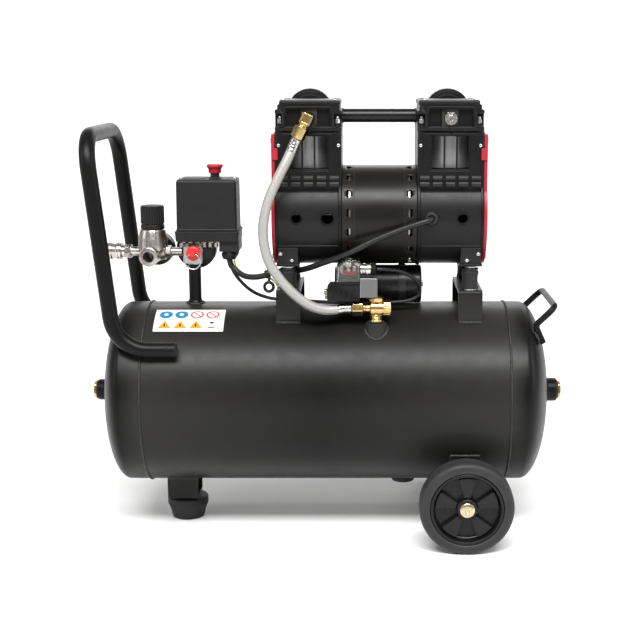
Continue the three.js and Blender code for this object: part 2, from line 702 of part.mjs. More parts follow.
function endCover() {
  const axis = [0, 0, PUMP.z];
  const { inner, outer, top } = COVER;
  const shell = join(
    cylinder('x', PUMP.barrel, inner, outer, axis, ROUND),
    box(inner, outer, -PUMP.depth, PUMP.depth, PUMP.z, top));
  const cuts = [cylinder('x', 56, inner - 1, outer - 2.8, axis, ROUND)];
  for (let i = -3; i <= 3; i++) {
    const rise = 13 * i;
    const half = Math.sqrt(48 * 48 - rise * rise) - 2;
    cuts.push(box(outer - 4, outer + 1, -half, half, PUMP.z + rise - 3.5, PUMP.z + rise + 3.5));
  }
  const plate = cut(shell, ...cuts);
  const tabs = [];
  for (const side of [-1, 1]) {
    const [near, far] = side < 0
      ? [-PUMP.depth - 2.3, -PUMP.depth - GAP]
      : [PUMP.depth + GAP, PUMP.depth + 2.3];
    tabs.push(
      box(124.5, outer, near, far, 473, 487),
      box(inner, outer, Math.min(near, side * 48), Math.max(far, side * 48), 473, 487));
  }
  const spine = box(outer - 2.8, outer, -4, 4, PUMP.z - 50, PUMP.z + 50);
  return join(plate, spine, ...tabs);
}

function crossoverPipe() {
  return ring('x', 6, 8.5, -PUMP.inner + GAP, PUMP.inner - GAP, [0, 0, 525], 16);
}

function rubberMount(x, y) {
  const { radius, neck, bottom, neckZ, top } = MOUNT;
  const profile = [[0, bottom], [radius, bottom], [radius, neckZ], [neck, neckZ], [neck, top], [0, top]];
  return turned('z', profile, [x, y, 0], SMALL_ROUND);
}

function pump() {
  const group = new THREE.Group();
  group.add(
    piece('motor_housing', motorHousing(), blackPaint),
    piece('stator', stator(), copper),
    piece('rotor', rotor(), steel),
    piece('crossover_pipe', crossoverPipe(), blackPaint));
  const halves = [
    ['crankcase', () => crankcase(), blackCasting],
    ['cylinder', () => cylinderSleeve(), aluminium],
    ['cylinder_head', () => cylinderHead(), blackCasting],
    ['piston', (side) => piston(side), aluminium],
    ['air_filter', () => airFilter(), blackPlastic],
    ['end_cover', () => endCover(), redPlastic]];
  for (const [name, build, material] of halves) {
    group.add(
      piece(`${name}_right`, build(1), material),
      piece(`${name}_left`, mirrored(build(-1)), material));
  }
  for (const [side, x] of [['left', -MOUNT.x], ['right', MOUNT.x]]) {
    for (const [end, y] of [['front', -MOUNT.y], ['rear', MOUNT.y]]) {
      group.add(piece(`mount_${side}_${end}`, rubberMount(x, y), rubber));
    }
  }
  group.position.x = PUMP.x;
  return group;
}

// A strap bent into an upside-down U across the top of the tank.
function pumpBracket(x) {
  const { width, y, top, sheet } = BRIDGE;
  const inner = y - sheet;
  const section = [
    [-y, 240], [-inner, 240], [-inner, top - sheet], [inner, top - sheet],
    [inner, 240], [y, 240], [y, top], [-y, top]];
  return cut(alongX(section, x - width / 2, x + width / 2), tankEnvelope());
}

// ---------------------------------------------------------------- discharge line, relief valve and leads

function dischargeElbow() {
  const elbow = join(
    box(-7.5, 7.5, -8, 8, -7.5, 8),
    cylinder('y', 5, 7, -PUMP.depth - GAP - ELBOW.y, [0, 0, 0]),
    cylinder('z', 6, -12, -6, [0, 0, 0]),
    cylinder('z', 9, -26.5, -11, [0, 0, 0], 6));
  const geometry = geometryOf(elbow);
  return geometry.rotateY(THREE.MathUtils.degToRad(ELBOW.turn)).translate(ELBOW.x, ELBOW.y, ELBOW.z);
}

function dischargeHose() {
  const route = [
    [-29.5, -68, 499.4], [-31.3, -68, 495.8], [-34.8, -69.6, 487.8], [-40.7, -74, 474.6],
    [-52.2, -78.5, 452], [-61.3, -81, 432],
    [-67.5, -82.5, 412], [-70.2, -83, 392], [-69.1, -83, 372], [-63.4, -83, 351.5], [-52.6, -82, 333],
    [-38.7, -81, 316.5], [-24.7, -79, 304], [-10.7, -76, 295.2], [3.4, -72, 290.8], [17.6, -68.5, 290.5],
    [27, -66.4, 291.5], [31, -66, 291.7], [36.6, -66, 291.7]];
  return sweep(smoothPath(route), HOSE_RADIUS, 10, 22);
}

function checkValve() {
  const line = [0, VALVE.y, VALVE.z];
  const post = [VALVE.x, VALVE.y, 0];
  return join(
    cylinder('x', 9.4, 37, 51, line, 6),
    cylinder('x', 5.5, 50, 60, line),
    cylinder('x', 10, 59, 85, line),
    cylinder('z', VALVE.seat - GAP, 266, 290, post),
    cylinder('z', 10.4, 300, 306, post, 6));
}

function solenoidValve() {
  const y = VALVE.y;
  return join(
    box(46.5, 68.5, y - 10.8, y + 10.8, 306.4, 330.7),
    box(6.3, 47, y - 11, y + 11, 302, 323.6),
    alongY([[18, 323], [47, 323], [47, 353.5], [27, 353.5], [18, 345]], y - 13, y + 13),
    cylinder('x', 7.3, 46, 61, [0, y, 340.6]),
    cylinder('x', 6.2, 60, 66.6, [0, y, 340.6]));
}

function capacitor() {
  const { left, right, z, radius } = CAPACITOR;
  const profile = [
    [0, left], [radius - 2, left], [radius, left + 2], [radius, right - 2], [radius - 2, right],
    [4, right], [4, right + 2.6], [0, right + 2.6]];
  return turned('x', profile, [0, 0, z], 24);
}

function motorLead() {
  const route = [
    [134.8, -57, 402.5], [134.2, -66, 402.3], [129, -71, 400.5], [118, -72, 397], [101.8, -71.5, 391.6],
    [65.3, -71.5, 377], [28.6, -70, 358.6], [4.6, -59, 348.4], [-22.9, -38, 336.2], [-41, -27.5, 332.2],
    [-60.3, -26.5, 331], [-75.7, -26, 325.8], [-86.7, -24, 324], [-99, -20, 324.7], [-109.9, -14, 330.1],
    [-117, -12.4, 337.5], [GLAND.x, -GLAND.y, GLAND.bottom - GAP]];
  return sweep(smoothPath(route), MOTOR_LEAD_RADIUS, 8, 30);
}

function valveLead() {
  const route = [
    [GLAND.x, 0, 355.6], [GLAND.x - 0.6, 0, 344], [-117.5, 1, 332], [-113.6, 2, 323.5], [-106.7, 2, 314.5],
    [-96.9, 0, 305.5], [-86.1, -2, 299], [-74.2, -4, 295], [-64.1, -6, 293], [-46.9, -9, 292.4],
    [-24.8, -18, 292.6], [-3.9, -30, 293.5], [20, -37.5, 293.8], [60, -38, 293.6], [90, -37, 294.2],
    [110, -35, 296.5], [120.5, -35, 303], [122, -38, 312], [116.5, -44, 323.5], [105, -50, 332],
    [95.2, -55, 336.4], [80, -62, 339.4], [72, -65.6, 340.4], [67, VALVE.y, 340.6]];
  return sweep(smoothPath(route), VALVE_LEAD_RADIUS, 8, 34);
}

function dischargeLine() {
  const group = new THREE.Group();
  group.add(
    piece('discharge_elbow', dischargeElbow(), brass),
    piece('discharge_hose', dischargeHose(), braid),
    piece('check_valve', checkValve(), brass),
    piece('solenoid_valve', solenoidValve(), blackPlastic),
    piece('capacitor', capacitor(), blackPlastic),
    piece('motor_lead', motorLead(), rubber),
    piece('valve_lead', valveLead(), rubber));
  return group;
}

// ---------------------------------------------------------------- the whole machine

const compressor = new THREE.Group();
compressor.add(
  tank(),
  runningGear(),
  airControls(),
  regulator(),
  piece('pump_bracket_left', pumpBracket(PUMP.x - MOUNT.x), blackPaint),
  piece('pump_bracket_right', pumpBracket(PUMP.x + MOUNT.x), blackPaint),
  pump(),
  dischargeLine());
compressor.position.x = CENTRE_SHIFT;

export default compressor;
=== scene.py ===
import math

import bmesh
import bpy
from mathutils import Matrix, Vector, noise


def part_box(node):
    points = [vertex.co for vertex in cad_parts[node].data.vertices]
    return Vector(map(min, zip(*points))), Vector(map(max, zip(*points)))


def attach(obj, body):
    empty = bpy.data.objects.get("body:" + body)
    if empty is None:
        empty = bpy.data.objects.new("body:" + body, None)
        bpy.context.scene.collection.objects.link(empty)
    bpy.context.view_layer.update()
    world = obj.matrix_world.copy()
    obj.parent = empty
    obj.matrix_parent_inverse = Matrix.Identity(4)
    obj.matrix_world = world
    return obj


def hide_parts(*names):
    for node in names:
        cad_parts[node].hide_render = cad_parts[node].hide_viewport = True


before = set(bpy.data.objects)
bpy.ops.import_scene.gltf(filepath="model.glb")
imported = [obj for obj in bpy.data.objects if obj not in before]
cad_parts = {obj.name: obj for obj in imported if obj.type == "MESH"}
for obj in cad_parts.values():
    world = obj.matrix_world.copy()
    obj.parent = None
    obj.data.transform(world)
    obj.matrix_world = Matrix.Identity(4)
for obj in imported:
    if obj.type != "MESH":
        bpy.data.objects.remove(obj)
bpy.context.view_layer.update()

MM = 0.001
TAU = 2 * math.pi


def middle(node):
    low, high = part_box(node)
    return (low + high) / 2


# Lengths below are in millimetres, with X = 0 at the middle of the tank, as the CAD source has them.
RISER_X = -165
SHIFT = middle("riser_pipe").x / MM - RISER_X
RISER_AXIS = (RISER_X, 0, 0)
TANK_R, TANK_IN, TANK_Z = 115, 112.5, 172
TANK_AXIS = (0, 0, TANK_Z)
SEAMS = (-222, 232)
HANDLE_Y, HANDLE_FOOT = 100.8, 246
DRAIN_X = 103
DRAIN_AXIS = (DRAIN_X, 0, 0)
FOOT_X = -181.3
WHEEL_X, WHEEL_Z = 177, 58
PUMP_X, PUMP_Z = 70.8, 401
PUMP_AXIS = (0, 0, PUMP_Z)
BORE_X = 87
BORE_AXIS = (BORE_X, 0, 0)
FILTER_AT = (89.4, 0, 528)
VALVE_X, VALVE_Y, VALVE_Z = 67, -66, 291.7
VALVE_AXIS = (VALVE_X, VALVE_Y, 0)
CAPACITOR_AXIS = (0, 0, 312)
BUTTON_AXIS = (-136.6, 0, 0)
SAFETY_AT = (-161.7, 0, 355.8)
AIR_Z = 353
AIR_AXIS = (0, 0, AIR_Z)


def place(point):
    return Vector(((point[0] + SHIFT) * MM, point[1] * MM, point[2] * MM))


# ------------------------------------------------------------------ materials

def new_material(name):
    made = bpy.data.materials.new(name)
    made.use_nodes = True
    tree = made.node_tree
    return made, tree.nodes, tree.links, tree.nodes["Principled BSDF"]


def noise_node(nodes, links, source, scale, detail=4.0, stretch=None):
    made = nodes.new("ShaderNodeTexNoise")
    made.inputs["Scale"].default_value = scale
    made.inputs["Detail"].default_value = detail
    if stretch:
        mapping = nodes.new("ShaderNodeMapping")
        mapping.inputs["Scale"].default_value = stretch
        links.new(source, mapping.inputs["Vector"])
        source = mapping.outputs["Vector"]
    links.new(source, made.inputs["Vector"])
    return made.outputs["Fac"]


def spread(nodes, links, source, low, high):
    made = nodes.new("ShaderNodeMapRange")
    made.inputs["From Min"].default_value = 0.25
    made.inputs["From Max"].default_value = 0.75
    made.inputs["To Min"].default_value = low
    made.inputs["To Max"].default_value = high
    links.new(source, made.inputs["Value"])
    return made.outputs["Result"]


def blended(nodes, links, factor, first, second):
    made = nodes.new("ShaderNodeMix")
    made.data_type = "RGBA"
    links.new(factor, made.inputs["Factor"])
    for socket, value in ((made.inputs[6], first), (made.inputs[7], second)):
        if isinstance(value, bpy.types.NodeSocket):
            links.new(value, socket)
        else:
            socket.default_value = (*value, 1)
    return made.outputs[2]


def ramp(nodes, links, source, start, end):
    made = nodes.new("ShaderNodeMapRange")
    made.inputs["From Min"].default_value = start
    made.inputs["From Max"].default_value = end
    links.new(source, made.inputs["Value"])
    return made.outputs["Result"]


def surface(name, color, rough, metal=0.0, grain=1200, bump=0.15, depth=0.03, mottle=0.15, cloud=45,
            vary=0.06, wear_and_edge_highlight=None, stretch=None, dust=None, specular=0.5):
    """A painted, moulded or machined surface.

    It has colour clouds, roughness changes and fine relief. Dust and lighter convex edges come only where
    asked for.
    The lighter edges are partly wear and partly a painted edge highlight.
    """
    made, nodes, links, shader = new_material(name)
    where = nodes.new("ShaderNodeTexCoord").outputs["Object"]
    clouds = noise_node(nodes, links, where, cloud)
    dark = [c * (1 - mottle) for c in color]
    light = [min(1, c * (1 + mottle)) for c in color]
    tone = blended(nodes, links, spread(nodes, links, clouds, 0, 1), dark, light)
    if dust:
        specks = ramp(nodes, links, noise_node(nodes, links, where, 900, 2.0), 0.66, 0.74)
        tone = blended(nodes, links, specks, tone, dust)
    # Convex edges (Pointiness) get a lighter colour: partly edge wear, partly a painted edge highlight.
    if wear_and_edge_highlight:
        edges = nodes.new("ShaderNodeNewGeometry").outputs["Pointiness"]
        tone = blended(nodes, links, ramp(nodes, links, edges, 0.53, 0.62), tone, wear_and_edge_highlight)
    links.new(tone, shader.inputs["Base Color"])
    patches = noise_node(nodes, links, where, cloud * 3)
    links.new(spread(nodes, links, patches, rough - vary, rough + vary), shader.inputs["Roughness"])
    relief = nodes.new("ShaderNodeBump")
    relief.inputs["Strength"].default_value = bump
    relief.inputs["Distance"].default_value = depth * MM
    links.new(noise_node(nodes, links, where, grain, 3.0, stretch), relief.inputs["Height"])
    links.new(relief.outputs["Normal"], shader.inputs["Normal"])
    shader.inputs["Metallic"].default_value = metal
    shader.inputs["Specular IOR Level"].default_value = specular
    return made


def braid_material():
    """Fine crossing wires, drawn in the hose's own UVs: millimetres round it and along it."""
    made, nodes, links, shader = new_material("hose_braid")
    uv = nodes.new("ShaderNodeTexCoord").outputs["UV"]
    heights = []
    for turn in (-1, 1):
        mapping = nodes.new("ShaderNodeMapping")
        mapping.inputs["Rotation"].default_value = (0, 0, turn * math.radians(52))
        links.new(uv, mapping.inputs["Vector"])
        wave = nodes.new("ShaderNodeTexWave")
        wave.inputs["Scale"].default_value = 0.42
        wave.inputs["Distortion"].default_value = 0.4
        links.new(mapping.outputs["Vector"], wave.inputs["Vector"])
        heights.append(wave.outputs["Fac"])
    most = nodes.new("ShaderNodeMath")
    most.operation = "MAXIMUM"
    links.new(heights[0], most.inputs[0])
    links.new(heights[1], most.inputs[1])
    tone = blended(nodes, links, most.outputs["Value"], (0.1, 0.096, 0.09), (0.4, 0.39, 0.37))
    links.new(tone, shader.inputs["Base Color"])
    relief = nodes.new("ShaderNodeBump")
    relief.inputs["Strength"].default_value = 0.35
    relief.inputs["Distance"].default_value = 0.2 * MM
    links.new(most.outputs["Value"], relief.inputs["Height"])
    links.new(relief.outputs["Normal"], shader.inputs["Normal"])
    shader.inputs["Metallic"].default_value = 0.35
    shader.inputs["Roughness"].default_value = 0.42
    return made


def clear_material(name, color, rough, depth):
    made, nodes, links, shader = new_material(name)
    where = nodes.new("ShaderNodeTexCoord").outputs["Object"]
    relief = nodes.new("ShaderNodeBump")
    relief.inputs["Strength"].default_value = 0.2
    relief.inputs["Distance"].default_value = depth * MM
    links.new(noise_node(nodes, links, where, 160), relief.inputs["Height"])
    links.new(relief.outputs["Normal"], shader.inputs["Normal"])
    tone = blended(nodes, links, noise_node(nodes, links, where, 60), color, [c * 0.9 for c in color])
    links.new(tone, shader.inputs["Base Color"])
    shader.inputs["Roughness"].default_value = rough
    shader.inputs["Transmission Weight"].default_value = 1.0
    shader.inputs["IOR"].default_value = 1.46
    return made


def printed(name, color, rough=0.4, mottle=0.06):
    """Flat printing ink or paper."""
    return surface(name, color, rough, grain=900, bump=0.05, depth=0.01, mottle=mottle)


# The edge colours given below lighten convex edges: partly edge wear, partly a painted edge highlight.
PAINT = surface("tank_powder_coat", (0.0032, 0.0031, 0.003), 0.37, grain=1500, bump=0.3, depth=0.04,
                mottle=0.15, cloud=22, vary=0.05, wear_and_edge_highlight=(0.035, 0.034, 0.032), dust=(0.009, 0.009, 0.008),
                specular=0.14)
WELD = surface("painted_weld", (0.008, 0.0077, 0.0073), 0.36, grain=700, bump=0.5, depth=0.15,
               wear_and_edge_highlight=(0.04, 0.038, 0.036), specular=0.32)
CASTING = surface("pump_casting_paint", (0.0045, 0.0045, 0.0045), 0.38, grain=800, bump=0.45, depth=0.08,
                  mottle=0.2, wear_and_edge_highlight=(0.026, 0.026, 0.025), dust=(0.007, 0.007, 0.0065), specular=0.15)
HOUSING = surface("motor_housing_paint", (0.0055, 0.005, 0.0042), 0.33, grain=1400, bump=0.15, depth=0.02,
                  mottle=0.1, cloud=14, vary=0.03, wear_and_edge_highlight=(0.024, 0.022, 0.019), specular=0.19)
PLASTIC = surface("black_plastic", (0.0075, 0.0075, 0.0077), 0.5, grain=2600, bump=0.35, depth=0.05,
                  mottle=0.15, wear_and_edge_highlight=(0.028, 0.028, 0.028), specular=0.22)
SMOOTH_PLASTIC = surface("smooth_black_plastic", (0.005, 0.005, 0.0052), 0.3, grain=900, bump=0.12,
                         depth=0.03, mottle=0.15, wear_and_edge_highlight=(0.025, 0.025, 0.025), specular=0.24)
RED = surface("red_plastic", (0.27, 0.0075, 0.016), 0.42, grain=1800, bump=0.18, depth=0.03, mottle=0.07,
              wear_and_edge_highlight=(0.34, 0.025, 0.032), specular=0.3)
CAP_RED = surface("red_cap_plastic", (0.5, 0.014, 0.009), 0.38, grain=1500, bump=0.2, depth=0.03,
                  mottle=0.08, wear_and_edge_highlight=(0.66, 0.1, 0.07))
RUBBER = surface("moulded_rubber", (0.01, 0.01, 0.01), 0.6, grain=1600, bump=0.4, depth=0.06,
                 mottle=0.2, wear_and_edge_highlight=(0.03, 0.03, 0.03), dust=(0.022, 0.021, 0.02), specular=0.28)
TYRE = surface("tyre_rubber", (0.018, 0.018, 0.0185), 0.54, grain=1300, bump=0.45, depth=0.08,
               mottle=0.2, cloud=60, wear_and_edge_highlight=(0.045, 0.045, 0.045), dust=(0.035, 0.034, 0.032), specular=0.3)
SHEATH = surface("lead_sheath", (0.0075, 0.0075, 0.0075), 0.42, grain=900, bump=0.25, depth=0.04,
                 mottle=0.15, wear_and_edge_highlight=(0.025, 0.025, 0.025), specular=0.32)
BRASS = surface("machined_brass", (0.56, 0.4, 0.17), 0.2, metal=1.0, grain=500, bump=0.15, depth=0.02,
                mottle=0.14, cloud=120, vary=0.08, wear_and_edge_highlight=(0.8, 0.6, 0.32), stretch=(0.2, 0.2, 6))
NICKEL = surface("nickel_plate", (0.5, 0.465, 0.435), 0.24, metal=1.0, grain=900, bump=0.2, depth=0.04,
                 mottle=0.16, cloud=110, vary=0.09, wear_and_edge_highlight=(0.72, 0.69, 0.66))
CAST_NICKEL = surface("cast_nickel_plate", (0.4, 0.37, 0.345), 0.33, metal=1.0, grain=1300, bump=0.5,
                      depth=0.07, mottle=0.22, cloud=150, vary=0.1, wear_and_edge_highlight=(0.68, 0.65, 0.62))
STEEL = surface("machined_steel", (0.48, 0.48, 0.49), 0.24, metal=1.0, grain=600, bump=0.2, depth=0.02,
                mottle=0.12, cloud=100, vary=0.08, wear_and_edge_highlight=(0.72, 0.72, 0.72), stretch=(6, 0.3, 0.3))
ZINC = surface("yellow_zinc", (0.52, 0.45, 0.3), 0.26, metal=1.0, grain=900, bump=0.15, depth=0.02,
               mottle=0.25, cloud=220, vary=0.1, wear_and_edge_highlight=(0.75, 0.65, 0.46))
BARREL = surface("bored_aluminium", (0.3, 0.3, 0.3), 0.34, metal=0.75, grain=500, bump=0.25, depth=0.03,
                 mottle=0.1, cloud=60, vary=0.06, wear_and_edge_highlight=(0.6, 0.6, 0.6), stretch=(0.3, 0.3, 5))
COPPER = surface("wound_copper", (0.15, 0.045, 0.025), 0.42, metal=0.8, grain=300, bump=0.6, depth=0.4,
                 mottle=0.35, cloud=260, vary=0.08, wear_and_edge_highlight=(0.4, 0.16, 0.09), stretch=(1, 6, 6))
PAPER = printed("label_white", (0.6, 0.6, 0.585), mottle=0.03)
BLUE = printed("label_blue", (0.008, 0.15, 0.27))
LABEL_RED = printed("label_red", (0.36, 0.03, 0.022))
AMBER = printed("label_amber", (0.55, 0.24, 0.012))
INK = printed("printed_black", (0.015, 0.015, 0.015), 0.45, 0.1)
DIAL = printed("dial_white", (0.82, 0.82, 0.8), 0.45, 0.03)
GLASS = clear_material("gauge_glass", (0.98, 0.98, 0.98), 0.03, 0.02)
DULL_METAL = surface("brushed_block", (0.12, 0.12, 0.12), 0.34, metal=1.0, grain=700, bump=0.25, depth=0.03,
                     mottle=0.14, cloud=40, wear_and_edge_highlight=(0.34, 0.34, 0.34), stretch=(0.3, 0.3, 6))
DARK_PLASTIC = surface("dull_black_plastic", (0.003, 0.003, 0.003), 0.55, grain=1300, bump=0.3, depth=0.05,
                       mottle=0.2, wear_and_edge_highlight=(0.012, 0.012, 0.012), specular=0.1)
CLEAR = clear_material("clear_plastic", (0.86, 0.86, 0.84), 0.12, 0.3)
EARTH = surface("earth_wire", (0.55, 0.6, 0.05), 0.4, grain=900, bump=0.1, depth=0.02, mottle=0.1)
BRAID = braid_material()


# ------------------------------------------------------------------ shapes

AXES = {
    "x": lambda u, v, along: (along, u, v),
    "y": lambda u, v, along: (u, along, v),
    "z": lambda u, v, along: (u, v, along),
}


def resampled(points, spacing):
    """The same line with points at even distances."""
    points = [Vector(p) for p in points]
    lengths = [0.0]
    for a, b in zip(points, points[1:]):
        lengths.append(lengths[-1] + (b - a).length)
    count = max(2, round(lengths[-1] / spacing))
    out, i = [], 0
    for k in range(count + 1):
        at = lengths[-1] * k / count
        while i < len(points) - 2 and lengths[i + 1] < at:
            i += 1
        t = (at - lengths[i]) / max(1e-9, lengths[i + 1] - lengths[i])
        out.append(points[i].lerp(points[i + 1], t))
    return out


def flowing(points, spacing):
    """A smooth line through the points, with round bends and no overshoot."""
    points = [Vector(p) for p in points]
    ends = [points[0] * 2 - points[1], *points, points[-1] * 2 - points[-2]]
    fine = []
    for a, b, c, d in zip(ends, ends[1:], ends[2:], ends[3:]):
        t0 = 0.0
        t1 = t0 + max(1e-6, (b - a).length ** 0.5)
        t2 = t1 + max(1e-6, (c - b).length ** 0.5)
        t3 = t2 + max(1e-6, (d - c).length ** 0.5)
        for k in range(16):
            t = t1 + (t2 - t1) * k / 16
            ab = a * ((t1 - t) / (t1 - t0)) + b * ((t - t0) / (t1 - t0))
            bc = b * ((t2 - t) / (t2 - t1)) + c * ((t - t1) / (t2 - t1))
            cd = c * ((t3 - t) / (t3 - t2)) + d * ((t - t2) / (t3 - t2))
            abc = ab * ((t2 - t) / (t2 - t0)) + bc * ((t - t0) / (t2 - t0))
            bcd = bc * ((t3 - t) / (t3 - t1)) + cd * ((t - t1) / (t3 - t1))
            fine.append(abc * ((t2 - t) / (t2 - t1)) + bcd * ((t - t1) / (t2 - t1)))
    return resampled([*fine, points[-1]], spacing)


def bent(points, radii, spacing):
    """Straight runs joined by round bends, as a tube bender makes them."""
    points = [Vector(p) for p in points]
    line = [points[0]]
    for corner, before, after, radius in zip(points[1:], points, points[2:], radii):
        a = (corner - before).normalized()
        b = (after - corner).normalized()
        angle = a.angle(b)
        reach = radius * math.tan(angle / 2)
        start, end = corner - a * reach, corner + b * reach
        centre = corner + (b - a).normalized() * (radius / math.cos(angle / 2))
        for k in range(17):
            spoke = (start - centre).normalized().slerp((end - centre).normalized(), k / 16)
            line.append(centre + spoke * radius)
    return resampled([*line, points[-1]], spacing)


def rounded(points, radius, steps=5):
    """A flat outline with its corners rounded. radius is one number, or one for each corner."""
    out = []
    count = len(points)
    for i in range(count):
        r = radius[i] if isinstance(radius, (list, tuple)) else radius
        corner, before, after = (Vector(points[j % count]) for j in (i, i - 1, i + 1))
        if r <= 0:
            out.append(tuple(corner))
            continue
        a, b = (before - corner), (after - corner)
        angle = a.angle(b)
        reach = min(r / math.tan(angle / 2), a.length * 0.49, b.length * 0.49)
        start, end = corner + a.normalized() * reach, corner + b.normalized() * reach
        for k in range(steps + 1):
            t = k / steps
            out.append(tuple(start * (1 - t) ** 2 + corner * (2 * t * (1 - t)) + end * t ** 2))
    return out


def regular(sides, radius):
    return [(radius * math.cos(TAU * k / sides), radius * math.sin(TAU * k / sides)) for k in range(sides)]


def rectangle(u0, v0, u1, v1):
    return [(u0, v0), (u1, v0), (u1, v1), (u0, v1)]


def cylinder(radius, start, end):
    """The profile of a plain cylinder."""
    return [(0, start), (radius, start), (radius, end), (0, end)]


def tube(inside, outside, start, end):
    """The profile of a plain ring."""
    return [(inside, start), (outside, start), (outside, end), (inside, end), (inside, start)]


def along_x(x, length, y, z, steps=10):
    """A straight line for a weld."""
    return [Vector((x + length * k / steps, y, z)) for k in range(steps + 1)]


class Shape:
    """Collects the faces of one piece, in millimetres. paint is the material of the faces that come next."""

    def __init__(self):
        self.bm = bmesh.new()
        self.uv = self.bm.loops.layers.uv.new("UVMap")
        self.paint = 0

    def face(self, verts):
        try:
            made = self.bm.faces.new(verts)
        except ValueError:
            return None
        made.material_index = self.paint
        made.smooth = True
        return made

    def rings(self, rings, closed_ring=True, caps=(True, True), uv=None):
        """Skins rows of points. A row of one point is a tip."""
        rows = [[self.bm.verts.new(p) for p in row] for row in rings]
        for r, (low, high) in enumerate(zip(rows, rows[1:])):
            count = max(len(low), len(high))
            last = count if closed_ring else count - 1
            for k in range(last):
                n = (k + 1) % count
                if len(low) == 1 and len(high) == 1:
                    continue
                if len(low) == 1:
                    corners = [low[0], high[n], high[k]]
                elif len(high) == 1:
                    corners = [low[k], low[n], high[0]]
                else:
                    corners = [low[k], low[n], high[n], high[k]]
                made = self.face(corners)
                if made and uv and len(corners) == 4:
                    for loop, at in zip(made.loops, ((k, r), (k + 1, r), (k + 1, r + 1), (k, r + 1))):
                        loop[self.uv].uv = uv(*at)
        for wanted, row in zip(caps, (rows[0], rows[-1])):
            if wanted and len(row) > 2:
                self.face(row)
        return self

    def revolve(self, profile, axis="z", at=(0, 0, 0), sides=96, relief=None):
        """Turns a profile of (radius, distance) round an axis.

        A profile that comes back to its start is a ring. relief(angle, radius, distance) raises the surface.
        """
        put = AXES[axis]
        loop = profile[0] == profile[-1] and profile[0][0] > 1e-6
        rows = []
        for i, (radius, along) in enumerate(profile[:-1] if loop else profile):
            if radius < 1e-6:
                rows.append([Vector(put(0, 0, along)) + Vector(at)])
                continue
            row = []
            for k in range(sides):
                angle = TAU * k / sides
                r = radius + (relief(angle, radius, along) if relief else 0)
                row.append(Vector(put(r * math.cos(angle), r * math.sin(angle), along)) + Vector(at))
            rows.append(row)
        if not loop:
            return self.rings(rows)
        made = [[self.bm.verts.new(p) for p in row] for row in rows]
        for low, high in zip(made, made[1:] + made[:1]):
            for k in range(sides):
                n = (k + 1) % sides
                self.face([low[k], low[n], high[n], high[k]])
        return self

    def prism(self, outline, axis, start, end):
        put = AXES[axis]
        return self.rings([[put(u, v, along) for u, v in outline] for along in (start, end)])

    def box(self, x0, x1, y0, y1, z0, z1):
        return self.prism(rectangle(x0, y0, x1, y1), "z", z0, z1)

    def sweep(self, line, radius, sides=20, relief=None, caps=(True, True)):
        """A tube along a line. relief(angle, distance) raises its surface."""
        rows = []
        distance = 0.0
        side = None
        for i, point in enumerate(line):
            ahead = (line[min(i + 1, len(line) - 1)] - line[max(i - 1, 0)]).normalized()
            if side is None:
                side = ahead.orthogonal().normalized()
            side = (side - ahead * side.dot(ahead)).normalized()
            other = ahead.cross(side)
            row = []
            for k in range(sides):
                angle = TAU * k / sides
                r = radius + (relief(angle, distance) if relief else 0)
                row.append(point + side * (r * math.cos(angle)) + other * (r * math.sin(angle)))
            rows.append(row)
            if i < len(line) - 1:
                distance += (line[i + 1] - point).length
        step = distance / max(1, len(line) - 1)
        return self.rings(rows, caps=caps, uv=lambda k, r: (TAU * radius * k / sides, r * step))

    def hexagon(self, across, axis, start, end, at=(0, 0, 0), turn=0.0):
        """A hex nut or head with the round chamfer that a lathe leaves. across is between corners."""
        radius, flat = across / 2, across / 2 * math.cos(math.pi / 6)
        drop = (radius - flat) * 0.6
        sides, direction = 48, 1 if end > start else -1
        put = AXES[axis]

        def row(limit, along):
            points = []
            for k in range(sides):
                angle = TAU * k / sides
                inside = flat / math.cos((angle - turn) % (math.pi / 3) - math.pi / 6)
                r = min(inside, limit)
                points.append(Vector(put(r * math.cos(angle), r * math.sin(angle), along)) + Vector(at))
            return points

        levels = [(flat * 0.98, start), (radius, start + drop * direction),
                  (radius, end - drop * direction), (flat * 0.98, end)]
        return self.rings([row(limit, along) for limit, along in levels])

    def weld(self, line, radius, seed=1):
        """A bead of overlapping ripples along a line."""
        line = resampled(line, 0.5)

        def ripple(angle, distance):
            wave = 0.12 * math.sin(TAU * distance / 1.9)
            return radius * (wave + 0.25 * noise.noise(Vector((distance * 0.25, angle, seed))))
        return self.sweep(line, radius, 12, ripple)

    def turned_by(self, matrix):
        self.bm.transform(matrix)
        return self

    def add(self, other):
        """Takes in another shape's faces."""
        scratch = bpy.data.meshes.new("scratch")
        other.bm.to_mesh(scratch)
        self.bm.from_mesh(scratch)
        bpy.data.meshes.remove(scratch)
        other.bm.free()
        return self

    def cut(self, tool):
        """Cuts another shape out of this one."""
        pair = []
        for shape in (self, tool):
            bmesh.ops.recalc_face_normals(shape.bm, faces=shape.bm.faces)
            mesh = bpy.data.meshes.new("scratch")
            shape.bm.to_mesh(mesh)
            made = bpy.data.objects.new("scratch", mesh)
            bpy.context.scene.collection.objects.link(made)
            pair.append(made)
        modifier = pair[0].modifiers.new("cut", "BOOLEAN")
        modifier.operation = "DIFFERENCE"
        modifier.solver = "EXACT"
        modifier.use_self = True
        modifier.object = pair[1]
        result = pair[0].evaluated_get(bpy.context.evaluated_depsgraph_get())
        self.bm.free()
        self.bm = bmesh.new()
        self.bm.from_mesh(result.to_mesh())
        result.to_mesh_clear()
        self.uv = self.bm.loops.layers.uv.verify()
        tool.bm.free()
        for made in pair:
            mesh = made.data
            bpy.data.objects.remove(made)
            bpy.data.meshes.remove(mesh)
        return self

